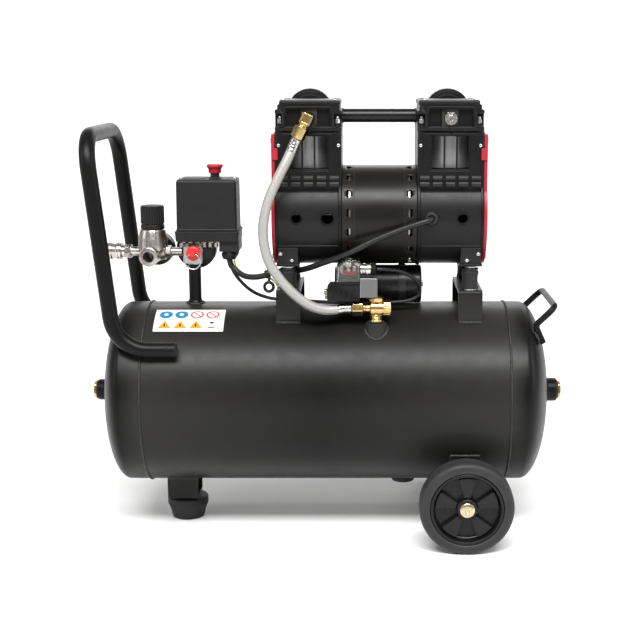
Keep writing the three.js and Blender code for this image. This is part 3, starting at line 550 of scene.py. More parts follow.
    def piece(self, name, body, slot, materials, replaces=(), bevel=0.0):
        """Turns the collected faces into a piece of the object."""
        bm = self.bm
        bmesh.ops.remove_doubles(bm, verts=bm.verts, dist=0.001)
        bmesh.ops.recalc_face_normals(bm, faces=bm.faces)
        for vert in bm.verts:
            vert.co = place(vert.co)
        mesh = bpy.data.meshes.new(name)
        bm.to_mesh(mesh)
        bm.free()
        made = bpy.data.objects.new(name, mesh)
        bpy.context.scene.collection.objects.link(made)
        for item in materials if isinstance(materials, (list, tuple)) else [materials]:
            mesh.materials.append(item)
        for polygon in mesh.polygons:
            polygon.use_smooth = True
        if bevel:
            edges = made.modifiers.new("edges", "BEVEL")
            edges.width = bevel * MM
            edges.segments = 2
            edges.limit_method = "ANGLE"
            edges.angle_limit = math.radians(38)
            edges.harden_normals = True
            edges.use_clamp_overlap = False
        weights = made.modifiers.new("normals", "WEIGHTED_NORMAL")
        weights.keep_sharp = True
        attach(made, body)
        if replaces:
            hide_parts(*replaces)
        return made


# ------------------------------------------------------------------ camera, floor and light

def camera():
    data = bpy.data.cameras.new("camera")
    data.sensor_width = 36
    data.lens = 72.6
    data.shift_x = -0.0719
    made = bpy.data.objects.new("camera", data)
    made.location = (0.0503, -1.636, 0.582)
    made.rotation_euler = (math.radians(79), 0, 0)
    bpy.context.scene.collection.objects.link(made)
    bpy.context.scene.camera = made


def floor():
    """A pale sheet that runs back from the object and curves up behind it."""
    rows = []
    profile = [(-6.0, 0.0), (2.2, 0.0)]
    profile += [(2.2 + 1.5 * math.sin(a), 1.5 - 1.5 * math.cos(a))
                for a in (math.pi / 2 * k / 16 for k in range(1, 17))]
    profile += [(3.7, 6.0)]
    for y, z in profile:
        rows.append([(-7.0, y, z), (7.0, y, z)])
    bm = bmesh.new()
    made_rows = [[bm.verts.new(p) for p in row] for row in rows]
    for low, high in zip(made_rows, made_rows[1:]):
        bm.faces.new([low[0], low[1], high[1], high[0]]).smooth = True
    mesh = bpy.data.meshes.new("floor")
    bm.to_mesh(mesh)
    bm.free()
    made = bpy.data.objects.new("floor", mesh)
    bpy.context.scene.collection.objects.link(made)
    mesh.materials.append(surface("floor_paper", (0.86, 0.86, 0.855), 0.85, grain=60, bump=0.03, depth=0.3,
                                  mottle=0.01, cloud=2, specular=0.1))


def area_light(name, location, target, size, power):
    data = bpy.data.lights.new(name, "AREA")
    data.shape = "RECTANGLE"
    data.size, data.size_y = size
    data.energy = power
    made = bpy.data.objects.new(name, data)
    made.location = location
    made.rotation_euler = (Vector(target) - Vector(location)).to_track_quat("-Z", "Y").to_euler()
    bpy.context.scene.collection.objects.link(made)


def studio():
    world = bpy.data.worlds.new("studio")
    bpy.context.scene.world = world
    world.use_nodes = True
    nodes, links = world.node_tree.nodes, world.node_tree.links
    seen = nodes["Background"]
    seen.inputs["Color"].default_value = (1, 1, 1, 1)
    seen.inputs["Strength"].default_value = 1.0
    unseen = nodes.new("ShaderNodeBackground")
    unseen.inputs["Color"].default_value = (1, 1, 1, 1)
    unseen.inputs["Strength"].default_value = 0.3
    which = nodes.new("ShaderNodeLightPath").outputs["Is Camera Ray"]
    mix = nodes.new("ShaderNodeMixShader")
    links.new(which, mix.inputs["Fac"])
    links.new(unseen.outputs["Background"], mix.inputs[1])
    links.new(seen.outputs["Background"], mix.inputs[2])
    links.new(mix.outputs["Shader"], nodes["World Output"].inputs["Surface"])
    area_light("front", (0.1, -1.9, 2.7), (0, 0, 0.25), (3.0, 1.0), 205)
    area_light("left", (-2.4, -0.7, 1.2), (0, 0, 0.3), (0.9, 1.6), 13)
    area_light("right", (2.4, -0.3, 1.1), (0, 0, 0.3), (0.9, 1.6), 17)
    area_light("rear", (0.0, 2.9, 1.7), (0, 0, 0.1), (3.2, 0.6), 17)
    area_light("backdrop", (0.0, 1.2, 2.4), (0, 3.4, 0.9), (3.4, 1.0), 40)


bpy.context.scene.view_settings.view_transform = "Standard"
camera()
floor()
studio()


# ------------------------------------------------------------------ cords

HOSE_ROUTE = [
    (-29.5, -68, 499.4), (-31.3, -68, 495.8), (-34.8, -69.6, 487.8), (-40.7, -74, 474.6), (-52.2, -78.5, 452),
    (-61.3, -81, 432), (-67.5, -82.5, 412), (-70.2, -83, 392), (-69.1, -83, 372), (-63.4, -83, 351.5),
    (-52.6, -82, 333), (-38.7, -81, 316.5), (-24.7, -79, 304), (-10.7, -76, 295.2), (3.4, -72, 290.8),
    (17.6, -68.5, 290.5), (27, -66.4, 291.5), (31, -66, 291.7), (36.6, -66, 291.7)]
GLAND_X, GLAND_Y = -119, 12.7
MOTOR_LEAD_ROUTE = [
    (134.8, -57, 402.5), (134.2, -66, 402.3), (129, -71, 400.5), (118, -72, 397), (101.8, -71.5, 391.6),
    (65.3, -71.5, 377), (28.6, -70, 358.6), (4.6, -59, 348.4), (-22.9, -38, 336.2), (-41, -27.5, 332.2),
    (-60.3, -26.5, 331), (-75.7, -26, 325.8), (-86.7, -24, 324), (-99, -20, 324.7), (-109.9, -14, 330.1),
    (-117, -12.4, 337.5), (GLAND_X, -GLAND_Y, 345.2)]
VALVE_LEAD_ROUTE = [
    (GLAND_X, 0, 355.6), (GLAND_X - 0.6, 0, 344), (-117.5, 1, 332), (-113.6, 2, 323.5), (-106.7, 2, 314.5),
    (-96.9, 0, 305.5), (-86.1, -2, 299), (-74.2, -4, 295), (-64.1, -6, 293), (-46.9, -9, 292.4),
    (-24.8, -18, 292.6), (-3.9, -30, 293.5), (20, -37.5, 293.8), (60, -38, 293.6), (90, -37, 294.2),
    (110, -35, 296.5), (120.5, -35, 303), (122, -38, 312), (116.5, -44, 323.5), (105, -50, 332),
    (95.2, -55, 336.4), (80, -62, 339.4), (72, -65.6, 340.4), (67, -66, 340.6)]


def line_length(line):
    return sum((b - a).length for a, b in zip(line, line[1:]))


def run_cord(name, node, route, radius, spacing, sides, material, slot, relief=None):
    line = flowing(route, spacing)
    made = Shape().sweep(line, radius, sides, relief).piece(name, "frame", slot, material, (node,))
    print(name, "length", round(line_length(line), 1), "mm")


def hose_relief(angle, distance):
    """The braid's bands cross over and under each other."""
    return 0.16 * math.sin(9 * angle + distance * 0.75) * math.sin(9 * angle - distance * 0.75)


def lead_relief(angle, distance):
    return 0.05 * math.sin(distance * 0.9 + 3 * angle)


run_cord("hose", "discharge_hose", HOSE_ROUTE, 6, 0.9, 56, BRAID, "braid", hose_relief)
run_cord("power_lead", "motor_lead", MOTOR_LEAD_ROUTE, 3.7, 1.6, 24, SHEATH, "rubber", lead_relief)
run_cord("relief_lead", "valve_lead", VALVE_LEAD_ROUTE, 2.2, 1.4, 18, SHEATH, "rubber", lead_relief)


# ------------------------------------------------------------------ tank

def dome(radius, shoulder, depth, start, end, steps):
    """Points of a dished end, from one angle to another, in degrees from its straight flange."""
    points = []
    for k in range(steps + 1):
        angle = math.radians(start + (end - start) * k / steps)
        points.append((radius * math.cos(angle), shoulder + depth * math.sin(angle)))
    return points


def tank_head(seam, shoulder, depth, boss, face):
    foot = math.degrees(math.acos((boss + 4) / TANK_R))
    outside = dome(TANK_R, shoulder, depth, 0, foot, 26)
    knee = dome(TANK_R, shoulder, depth, 0, math.degrees(math.acos(boss / TANK_R)), 1)[-1][1]
    bead = [(boss + 2.6, knee + 0.9), (boss + 1.2, knee + 2.2), (boss + 0.2, knee + 4)]
    profile = [(TANK_IN, seam), (TANK_R, seam)] + outside + bead
    profile += [(boss, face - 1.2), (boss - 1.2, face), (9, face), (8.4, face - 1), (8.4, shoulder + 18)]
    profile += dome(TANK_IN, shoulder, depth - 3, 70, 0, 8) + [(TANK_IN, seam)]
    return Shape().revolve(profile, "x", TANK_AXIS, 144)


def seam_bead(x, seed):
    """The girth weld where a dished end meets the shell."""
    circle = [Vector((x, TANK_R * math.cos(TAU * k / 240), TANK_Z + TANK_R * math.sin(TAU * k / 240)))
              for k in range(241)]
    return Shape().weld(circle, 1.5, seed)


def tank_shell():
    shell = Shape()
    left, right = SEAMS[0] + 0.2, SEAMS[1] - 0.2
    ring = [(TANK_IN, left), (TANK_R, left), (TANK_R, 0), (TANK_R, right), (TANK_IN, right), (TANK_IN, left)]
    shell.revolve(ring, "x", TANK_AXIS, 160)
    post = [(7.1, 246), (13.7, 246), (13.7, 272.4), (12.5, 274), (8, 274), (7.1, 273), (7.1, 246)]
    shell.revolve(post, "z", VALVE_AXIS, 56)
    drain = [(7.3, 49.5), (13.8, 49.5), (15, 50.7), (15, 60), (7.3, 60), (7.3, 49.5)]
    shell.revolve(drain, "z", DRAIN_AXIS, 56)
    return shell


def saddle_line(radius, at_x, at_y, lift=0.3, height=1):
    """Where an upright tube of that radius meets the tank, for a weld. height is -1 under the tank."""
    step = 72
    line = []
    for k in range(step + 1):
        angle = TAU * k / step
        x, y = at_x + radius * math.cos(angle), at_y + radius * math.sin(angle)
        line.append(Vector((x, y, TANK_Z + height * (math.sqrt(TANK_R ** 2 - y * y) + lift))))
    return line


def tank():
    right = tank_head(SEAMS[1] + 0.2, shoulder=251, depth=36, boss=15, face=302)
    right.piece("tank_end_right", "frame", "tank_paint", PAINT, ("tank_head_right",))
    left = tank_head(-SEAMS[0] + 0.2, shoulder=248, depth=31.4, boss=13.5, face=294)
    left.turned_by(Matrix.Scale(-1, 4, (1, 0, 0)))
    left.piece("tank_end_left", "frame", "tank_paint", PAINT, ("tank_head_left",))
    tank_shell().piece("tank_barrel", "frame", "tank_paint", PAINT, ("tank_shell",))
    welds = seam_bead(SEAMS[0], 3).add(seam_bead(SEAMS[1], 5))
    welds.weld(saddle_line(13.4, VALVE_X, VALVE_Y, lift=-0.4), 2, 7)
    welds.weld(saddle_line(10.6, RISER_X, 0), 1.5, 8)
    welds.weld(saddle_line(15.4, DRAIN_X, 0, height=-1), 1.5, 9)
    welds.weld(along_x(-220, 450, TANK_R * 0.87, TANK_Z - TANK_R * 0.49, 60), 1.6, 4)
    welds.piece("tank_welds", "frame", "tank_paint", WELD)


def end_plug(side, face, end):
    plug = Shape()
    plug.hexagon(23, "x", side * (face + 0.4), side * end, TANK_AXIS, 0.3)
    sunk = side * (end - 1.6)
    plug.revolve([(0, side * end), (6.2, side * end), (5.6, sunk), (0, sunk)], "x", TANK_AXIS, 40)
    plug.revolve(cylinder(7.6, side * (face - 10), side * face), "x", TANK_AXIS, 40)
    plug.paint = 1
    plug.revolve(tube(8, 12.2, side * (face + 0.1), side * (face + 1.5)), "x", TANK_AXIS, 48)
    return plug


def push_handle():
    half = [(-178, HANDLE_Y, HANDLE_FOOT), (-251, HANDLE_Y, HANDLE_FOOT), (-279, HANDLE_Y, 504)]
    route = [(x, -y, z) for x, y, z in half] + half[::-1]
    line = bent(route, [45, 40, 40, 45], 4)
    handle = Shape().sweep(line, 9.75, 36)
    handle.piece("carrying_bar", "frame", "tank_paint", PAINT, ("push_handle",), 0.5)
    ends = Shape()
    beads = Shape()
    for side in (-1, 1):
        ends.revolve([(0, -177.9), (8.9, -177.9), (9, -177), (7.6, -176.2), (0, -176)], "x",
                     (0, side * HANDLE_Y, HANDLE_FOOT), 36)
        for angle in (math.radians(95), math.radians(-23)):
            y = side * (HANDLE_Y - 8.2 * math.cos(angle))
            z = HANDLE_FOOT + 8.2 * math.sin(angle)
            away = Vector((0, y, z - TANK_Z)).normalized() * (TANK_R + 0.6)
            beads.weld(along_x(-221, 41, away.y, TANK_Z + away.z, 12), 2.1, 11 + side)
    ends.piece("bar_end_caps", "frame", "black_plastic", SMOOTH_PLASTIC)
    beads.piece("bar_welds", "frame", "tank_paint", WELD)


def lifting_handle():
    leg = 64
    half = [(274.8, leg, 247), (264.6, leg, 269.5), (289, leg, 293)]
    route = [(x, -y, z) for x, y, z in half] + half[::-1]
    bar = Shape().sweep(bent(route, [7, 11, 11, 7], 1.6), 4, 28)
    bar.piece("lifting_bar", "frame", "tank_paint", PAINT, ("lifting_handle",), 0.6)
    beads = Shape()
    for side in (-1, 1):
        beads.weld([Vector((270.6 - 6.4 * t, side * (leg + 2.6 * math.sin(math.pi * t)), 248 + 12.5 * t))
                    for t in (k / 12 for k in range(13))], 2.3, 21)
    beads.piece("lifting_bar_welds", "frame", "tank_paint", WELD)


def riser():
    pipe = Shape().revolve([(4.5, 287.2), (9.6, 287.2), (9.9, 288), (9.8, 289.3), (8.8, 290), (8.2, 291.5),
                            (7.9, 294), (7.9, 337.8), (7.2, 339), (4.5, 339), (4.5, 287.2)],
                           "z", RISER_AXIS, 56)
    pipe.piece("riser", "frame", "tank_paint", PAINT, ("riser_pipe",))


def on_tank(across, along, lift=0.0, start=52.3):
    """A point on the front of the tank from flat label coordinates, across in X and along round it."""
    angle = math.radians(start) + along / TANK_R
    r = TANK_R + lift
    return Vector((across, -r * math.cos(angle), TANK_Z + r * math.sin(angle)))


def label():
    left, wide, tall = -210, 87.2, 44.4
    paper = Shape()
    columns, rows = 12, 24

    def sheet_grid(lift):
        return [[on_tank(left + wide * c / columns, tall * r / rows, lift) for c in range(columns + 1)]
                for r in range(rows + 1)]
    top, bottom = sheet_grid(0.35), sheet_grid(0.1)
    paper.rings(top, closed_ring=False, caps=(False, False))
    paper.rings(bottom, closed_ring=False, caps=(False, False))
    for r in (0, -1):
        edge = [[top[r][c], bottom[r][c]] for c in range(columns + 1)]
        paper.rings(edge, closed_ring=False, caps=(False, False))
    for c in (0, -1):
        edge = [[top[r][c], bottom[r][c]] for r in range(rows + 1)]
        paper.rings(edge, closed_ring=False, caps=(False, False))

    def patch(outline, u, v, lift, scale=1.0, turn=0):
        """A printed shape that follows the tank's curve, drawn as rings that close in on its middle."""
        c, t = math.cos(turn), math.sin(turn)
        rows = []
        for size, height in ((1, 0.2), *((inner, lift) for inner in (1, 0.8, 0.6, 0.4, 0.2, 0.04))):
            k = scale * size
            rows.append([
                on_tank(left + wide * u + k * (x * c - y * t), tall * v + k * (x * t + y * c), height)
                for x, y in outline])
        paper.rings(rows)
    disc = regular(40, 8.2)
    corners = rounded([(-8.2, -6.6), (8.2, -6.6), (0, 7.6)], 1.4)
    triangle = resampled([Vector((x, 0, z)) for x, z in corners], 0.8)
    triangle = [(point.x, point.z) for point in triangle]
    for i, u in enumerate((0.155, 0.378, 0.601, 0.826)):
        paper.paint = 1 if i < 2 else 2
        patch(disc, u, 0.72, 0.5)
        paper.paint = 0
        patch(disc, u, 0.72, 0.62, 0.34 if i < 2 else 0.76)
        if i >= 2:
            paper.paint = 2
            patch(rectangle(-7.4, -0.9, 7.4, 0.9), u, 0.72, 0.72, 0.9, -0.8)
        if i < 3:
            paper.paint = 3
            patch(triangle, u, 0.26, 0.5)
            paper.paint = 4
            patch(rounded(rectangle(-1, -2.4, 1, 2.6), 0.5), u, 0.235, 0.62)
        else:
            paper.paint = 4
            patch(rounded(rectangle(-3, -2, 3, 2), 1), u, 0.34, 0.5, 0.8)
            patch(rectangle(-4.4, -0.8, 4.4, 0.8), u, 0.14, 0.5)
    paper.piece("label", "frame", "white_plastic", [PAPER, BLUE, LABEL_RED, AMBER, INK])


tank()
end_plug(1, 302, 307).piece("plug_right", "frame", "brass", [BRASS, RUBBER], ("end_plug_right",), 0.25)
end_plug(-1, 294, 299).piece("plug_left", "frame", "brass", [BRASS, RUBBER], ("end_plug_left",), 0.25)
push_handle()
lifting_handle()
riser()
label()


# ------------------------------------------------------------------ foot and wheels

def strap(x0, x1, half, low, high, sheet):
    """A strip bent into a U that opens upwards, with round bends."""
    r = sheet * 1.6
    outer = rounded([(-half, high), (-half, low), (half, low), (half, high)], [0, r, r, 0], 6)
    inside = half - sheet
    inner = rounded([(inside, high), (inside, low + sheet), (-inside, low + sheet), (-inside, high)],
                    [0, r - sheet, r - sheet, 0], 6)
    return Shape().prism(outer + inner, "x", x0, x1)


def tank_tool(grow=0.15):
    return Shape().revolve(cylinder(TANK_R + grow, -260, 260), "x",
                           TANK_AXIS, 160)


def foot():
    bracket = strap(-204.5, -165.1, 24, 29.3, 66, 3)
    bracket.cut(tank_tool())
    bracket.piece("foot_strap", "frame", "tank_paint", PAINT, ("foot_bracket",), 0.4)
    beads = Shape()
    z = TANK_Z - math.sqrt(TANK_R ** 2 - 24 ** 2) - 0.4
    for side in (-1, 1):
        beads.weld(along_x(-204, 38.6, side * 24.4, z), 1.8, 31)
    beads.piece("foot_welds", "frame", "tank_paint", WELD)
    block = Shape()
    profile = [(0, 5), (6, 5), (7, 0.8), (8.5, 0), (18.6, 0), (20.4, 0.8), (21.4, 3), (22.6, 9), (25.6, 17.4),
               (26.4, 18.6), (26.5, 20), (26.5, 26.2), (26, 27.6), (24.6, 28.6), (12, 29), (0, 29)]
    block.revolve(profile, "z", (FOOT_X, 0, 0), 80)
    block.paint = 1
    block.hexagon(9, "z", 1.2, 5.2, (FOOT_X, 0, 0))
    block.piece("foot_block", "frame", "rubber", [RUBBER, STEEL], ("rubber_foot",))


def axle_bracket():
    left, right = WHEEL_X - 19.25, WHEEL_X + 19.25
    half, top, sheet = 99, 112.8, 3
    bracket = strap(left, right, half, 43, top, sheet)
    for side in (-1, 1):
        near, far = sorted((side * 60, side * (half - 1)))
        web = rounded(rectangle(near, 43.5, far, top), 1)
        for x in (left, right - sheet):
            bracket.add(Shape().prism(web, "x", x, x + sheet))
    bracket.cut(tank_tool())
    bracket.piece("axle_carrier", "frame", "tank_paint", PAINT, ("axle_bracket",), 0.4)
    beads = Shape()
    z = TANK_Z - math.sqrt(TANK_R ** 2 - half ** 2)
    for side in (-1, 1):
        beads.weld(along_x(left + 1, 36.5, side * 99.6, z - 1.6), 2, 33)
    beads.piece("axle_welds", "frame", "tank_paint", WELD)
    for side, name in ((-1, "front"), (1, "rear")):
        bolt = Shape()
        profile = [(0, 98), (9, 98), (9.4, 99), (9.4, 101.6), (6, 101.6), (6, 146.4), (9, 146.4), (9.4, 147),
                   (9.4, 148.4), (8.6, 149.5), (6, 150.4), (3.2, 150.4), (2.6, 149), (0, 148.8)]
        bolt.revolve([(r, side * y) for r, y in profile], "y", (WHEEL_X, 0, WHEEL_Z), 56)
        for k in range(4):
            lug = Shape().box(-1.1, 1.1, side * 149.2 - 0.9, side * 149.2 + 0.9, 2.2, 7.4)
            lug.turned_by(Matrix.Rotation(math.pi / 4 + math.pi / 2 * k, 4, "Y"))
            bolt.add(lug.turned_by(Matrix.Translation((WHEEL_X, 0, WHEEL_Z))))
        bolt.piece("axle_bolt_" + name, "frame", "steel", ZINC, (), 0.2)


def tyre_shape():
    outline = [(45, 12.6), (45.4, 15), (47, 16), (49.6, 15.7), (50.4, 15.3), (51.2, 15.7), (53.6, 15.4),
               (55.6, 14.2), (57.2, 12.2), (57.9, 9.6), (58, 6.4)]
    profile = [(r, -a) for r, a in outline] + [(57.3, -6), (57.3, -5.2), (58, -4.8), (58, -0.7), (57.3, -0.4)]
    profile += [(r, -a) for r, a in reversed(profile[11:])] + [(r, a) for r, a in reversed(outline)]
    profile += [(45, 12.6), (45, -12.6)]
    return profile


def rim_shape():
    rim = Shape()
    profile = [
        (6.3, -14.3), (11.8, -14.3), (12.7, -13.4), (12.9, -4.4), (13.8, -3), (38.6, -3), (39.9, -4.2),
        (40.4, -13.6), (41.6, -15.2), (44.3, -15.4), (44.8, -14.6), (44.8, 12.8), (43.6, 14), (41, 13.4),
        (40.4, 12), (40.2, 4.2), (39, 3), (13.9, 3), (12.9, 4.4), (12.7, 28.5), (6.3, 28.5), (6.3, -14.3)]
    rim.revolve(profile, "y", (0, 0, 0), 120)
    half_angle, shrink = math.pi / 10, 0.965

    def arc(radius, angle, places):
        return [(radius * math.cos(angle + t * half_angle), radius * math.sin(angle + t * half_angle))
                for t in places]
    for spoke in range(5):
        angle = math.pi / 2 + TAU * spoke / 5
        inner = arc(13.4, angle, (-0.86, -0.4, 0, 0.4, 0.86))
        outer = arc(38.9, angle, (0.93, 0.6, 0.3, 0, -0.3, -0.6, -0.93))
        wedge = rounded(inner + outer, [1.5, 0, 0, 0, 1.5, 3, 0, 0, 0, 0, 0, 3], 4)
        raised = Shape()
        x, y = 26 * math.cos(angle), 26 * math.sin(angle)
        small = [(x + (u - x) * shrink, y + (v - y) * shrink) for u, v in wedge]
        raised.rings([[AXES["y"](u, v, along) for u, v in points]
                      for points, along in ((wedge, -2.5), (wedge, -9.8), (small, -10.9))])
        rim.add(raised)
    return rim


def wheels():
    for side, name in ((-1, "front"), (1, "rear")):
        facing = Matrix.Rotation(math.pi if side > 0 else 0, 4, "Z")
        turn = Matrix.Translation((WHEEL_X, side * 132, WHEEL_Z)) @ facing
        body = name + "_wheel"
        rim = rim_shape().turned_by(turn)
        rim.piece("wheel_rim_" + name, body, "black_plastic", SMOOTH_PLASTIC, ("rim_" + name,), 0.3)
        tyre = Shape().revolve(tyre_shape(), "y", (0, 0, 0), 144).turned_by(turn)
        tyre.piece("wheel_tyre_" + name, body, "tyre", TYRE, ("tyre_" + name,))


def drain():
    screw = Shape()
    screw.revolve([(0, 49), (6.3, 49), (6.8, 49.5), (6.9, 60), (0, 60)], "z", DRAIN_AXIS, 40)
    screw.hexagon(13.4, "z", 47.6, 50, DRAIN_AXIS)
    screw.piece("drain_tap", "drain", "brass", BRASS, ("drain_screw",), 0.2)


foot()
axle_bracket()
wheels()
drain()


# ------------------------------------------------------------------ pump

def pump_place(side):
    """Puts a shape made for the right-hand end at that end of the pump. Side is 1 or -1."""
    return Matrix.Translation((PUMP_X, 0, 0)) @ Matrix.Scale(side, 4, (1, 0, 0))


def case_outline(radius, half, top, steps=40):
    """The round barrel with the square shroud above it, in Y and Z."""
    start = math.acos(half / radius)
    points = [(half, top)]
    for k in range(steps + 1):
        angle = start - (math.pi + 2 * start) * k / steps
        points.append((radius * math.cos(angle), PUMP_Z + radius * math.sin(angle)))
    return points + [(-half, top)]


def slot_tool(count, x, width, length):
    tool = Shape()
    oval = rounded(rectangle(-width / 2, -length / 2, width / 2, length / 2), width * 0.45, 4)
    for k in range(count):
        peg = Shape().prism(oval, "y", -72, -50)
        turn = Matrix.Rotation(TAU * (k + 0.66) / count, 4, "X")
        tool.add(peg.turned_by(Matrix.Translation((x, 0, PUMP_Z)) @ turn))
    return tool


def motor():
    """The tube's two slotted ends are made apart from its plain middle, so that the middle stays smooth."""
    inside, outside, plain, end_at, sides = 60, 62.5, 31, 46, 160
    shell = Shape()
    middle_part = [(outside, x) for x in (-plain, -15, 0, 15, plain)]
    shell.revolve([(inside, -plain), *middle_part, (inside, plain), (inside, -plain)], "x", PUMP_AXIS, sides)
    for side in (-1, 1):
        x = side * plain
        profile = [(inside, x), (outside, x), (outside, side * (end_at - 0.3)),
                   (outside - 0.2, side * end_at),
                   (inside, side * end_at), (inside, x)]
        end = Shape().revolve(profile, "x", PUMP_AXIS, sides)
        end.cut(slot_tool(16, side * 38, 5, 11))
        shell.add(end)
        shell.revolve([(62.3, x - 0.6), (62.7, x - 0.3), (62.7, x + 0.3), (62.3, x + 0.6), (62.3, x - 0.6)],
                      "x", PUMP_AXIS, sides)
    for x in (-38, 38):
        for degrees in (62, 118):
            screw = Shape()
            screw.paint = 1
            screw.revolve([(0, -64.6), (1.6, -64.6), (2.6, -64), (2.8, -62), (0, -62)], "y", (0, 0, 0), 24)
            turn = Matrix.Rotation(math.radians(degrees), 4, "X")
            shell.add(screw.turned_by(Matrix.Translation((x, 0, PUMP_Z)) @ turn))
    shell.turned_by(pump_place(1))
    shell.piece("motor_shell", "frame", "tank_paint", [HOUSING, STEEL], ("motor_housing",))
    core = Shape()
    core.revolve([(31.5, -28), (33, -28), (58.4, -37.6), (59.6, -37.6), (59.6, 37.6), (58.4, 37.6), (33, 28),
                  (31.5, 28), (31.5, -28)], "x", PUMP_AXIS, 96)
    core.paint = 1
    for x in (-28, 28):
        out = math.copysign(1, x)
        core.revolve([(33, x), (53, x), (56.5, x + 3 * out), (57, x + 9 * out), (52, x + 13.5 * out),
                      (38, x + 13.8 * out), (33.5, x + 10 * out), (33, x)], "x", PUMP_AXIS, 96,
                     lambda angle, r, a: 0.9 * math.sin(angle * 24) if r > 50 else 0)
    core.turned_by(pump_place(1))
    core.piece("motor_windings", "frame", "winding", [DULL_METAL, COPPER], ("stator",))


def fan_blades(shape, x):
    outline = rounded([(12, -6.5), (48, -8.5), (49.5, -4), (49.5, 5), (46, 7), (12, 6)], 2)
    for k in range(9):
        blade = Shape().prism(outline, "z", -0.9, 0.9)
        blade.turned_by(Matrix.Translation((x, 0, 0)) @ Matrix.Rotation(TAU * k / 9, 4, "X")
                        @ Matrix.Rotation(math.pi / 2, 4, "Z") @ Matrix.Rotation(math.radians(35), 4, "X"))
        shape.add(blade)


def rotor():
    spin = Shape()
    spin.revolve([(0, -125), (7, -125), (7.5, -124.5), (7.5, 124.5), (7, 125), (0, 125)], "x", (0, 0, 0), 40)
    stack = [(7.5, -30), (30.2, -30), (30.5, -29.6), (30.5, 29.6), (30.2, 30), (7.5, 30)]
    spin.revolve(stack, "x", (0, 0, 0), 72)
    for side in (-1, 1):
        x = side * BORE_X
        eccentric = [(0, x - 6), (11.6, x - 6), (12, x - 5.6), (12, x + 5.6), (11.6, x + 6), (0, x + 6)]
        spin.revolve(eccentric, "x", (0, 0, side * 8), 48)
        spin.revolve([(7.5, side * 115.6), (14, side * 115.6), (15, side * 116.6), (15, side * 123),
                      (13, side * 124.4), (7.5, side * 124.6)], "x", (0, 0, 0), 48)
        fan_blades(spin, side * 120)
    spin.turned_by(Matrix.Translation((PUMP_X, 0, PUMP_Z)))
    spin.piece("rotor_and_fans", "motor_rotor", "steel", [STEEL, SMOOTH_PLASTIC], ("rotor",), 0.25)


def piston(side, name):
    centre = PUMP_Z + side * 8
    rod = Shape()
    rod.revolve([(28.5, 82), (32.6, 82), (33, 82.4), (33, 91.6), (32.6, 92), (28.5, 92), (28.5, 82)], "x",
                (0, 0, centre), 72)
    rod.prism(rounded(rectangle(83, -7, 91, 7), 1.5), "z", centre + 31.5, centre + 72)
    crown = [(0, 70), (28, 70), (29.6, 71.5), (29.6, 77), (28.9, 77.4), (28.9, 78.8), (29.6, 79.2),
             (29.6, 82),
             (28.9, 82.4), (28.9, 83.6), (29.6, 84), (29.6, 86.4), (29, 87), (0, 87)]
    rod.revolve([(r, centre + z) for r, z in crown], "z", BORE_AXIS, 72)
    rod.turned_by(pump_place(side)).piece("piston_rod_" + name, name + "_piston", "aluminium", BARREL,
                                          ("piston_" + name,), 0.3)


# The two round openings in the front of a crankcase: X and radius.
PORTS = ((64, 6.8), (102, 5.6))


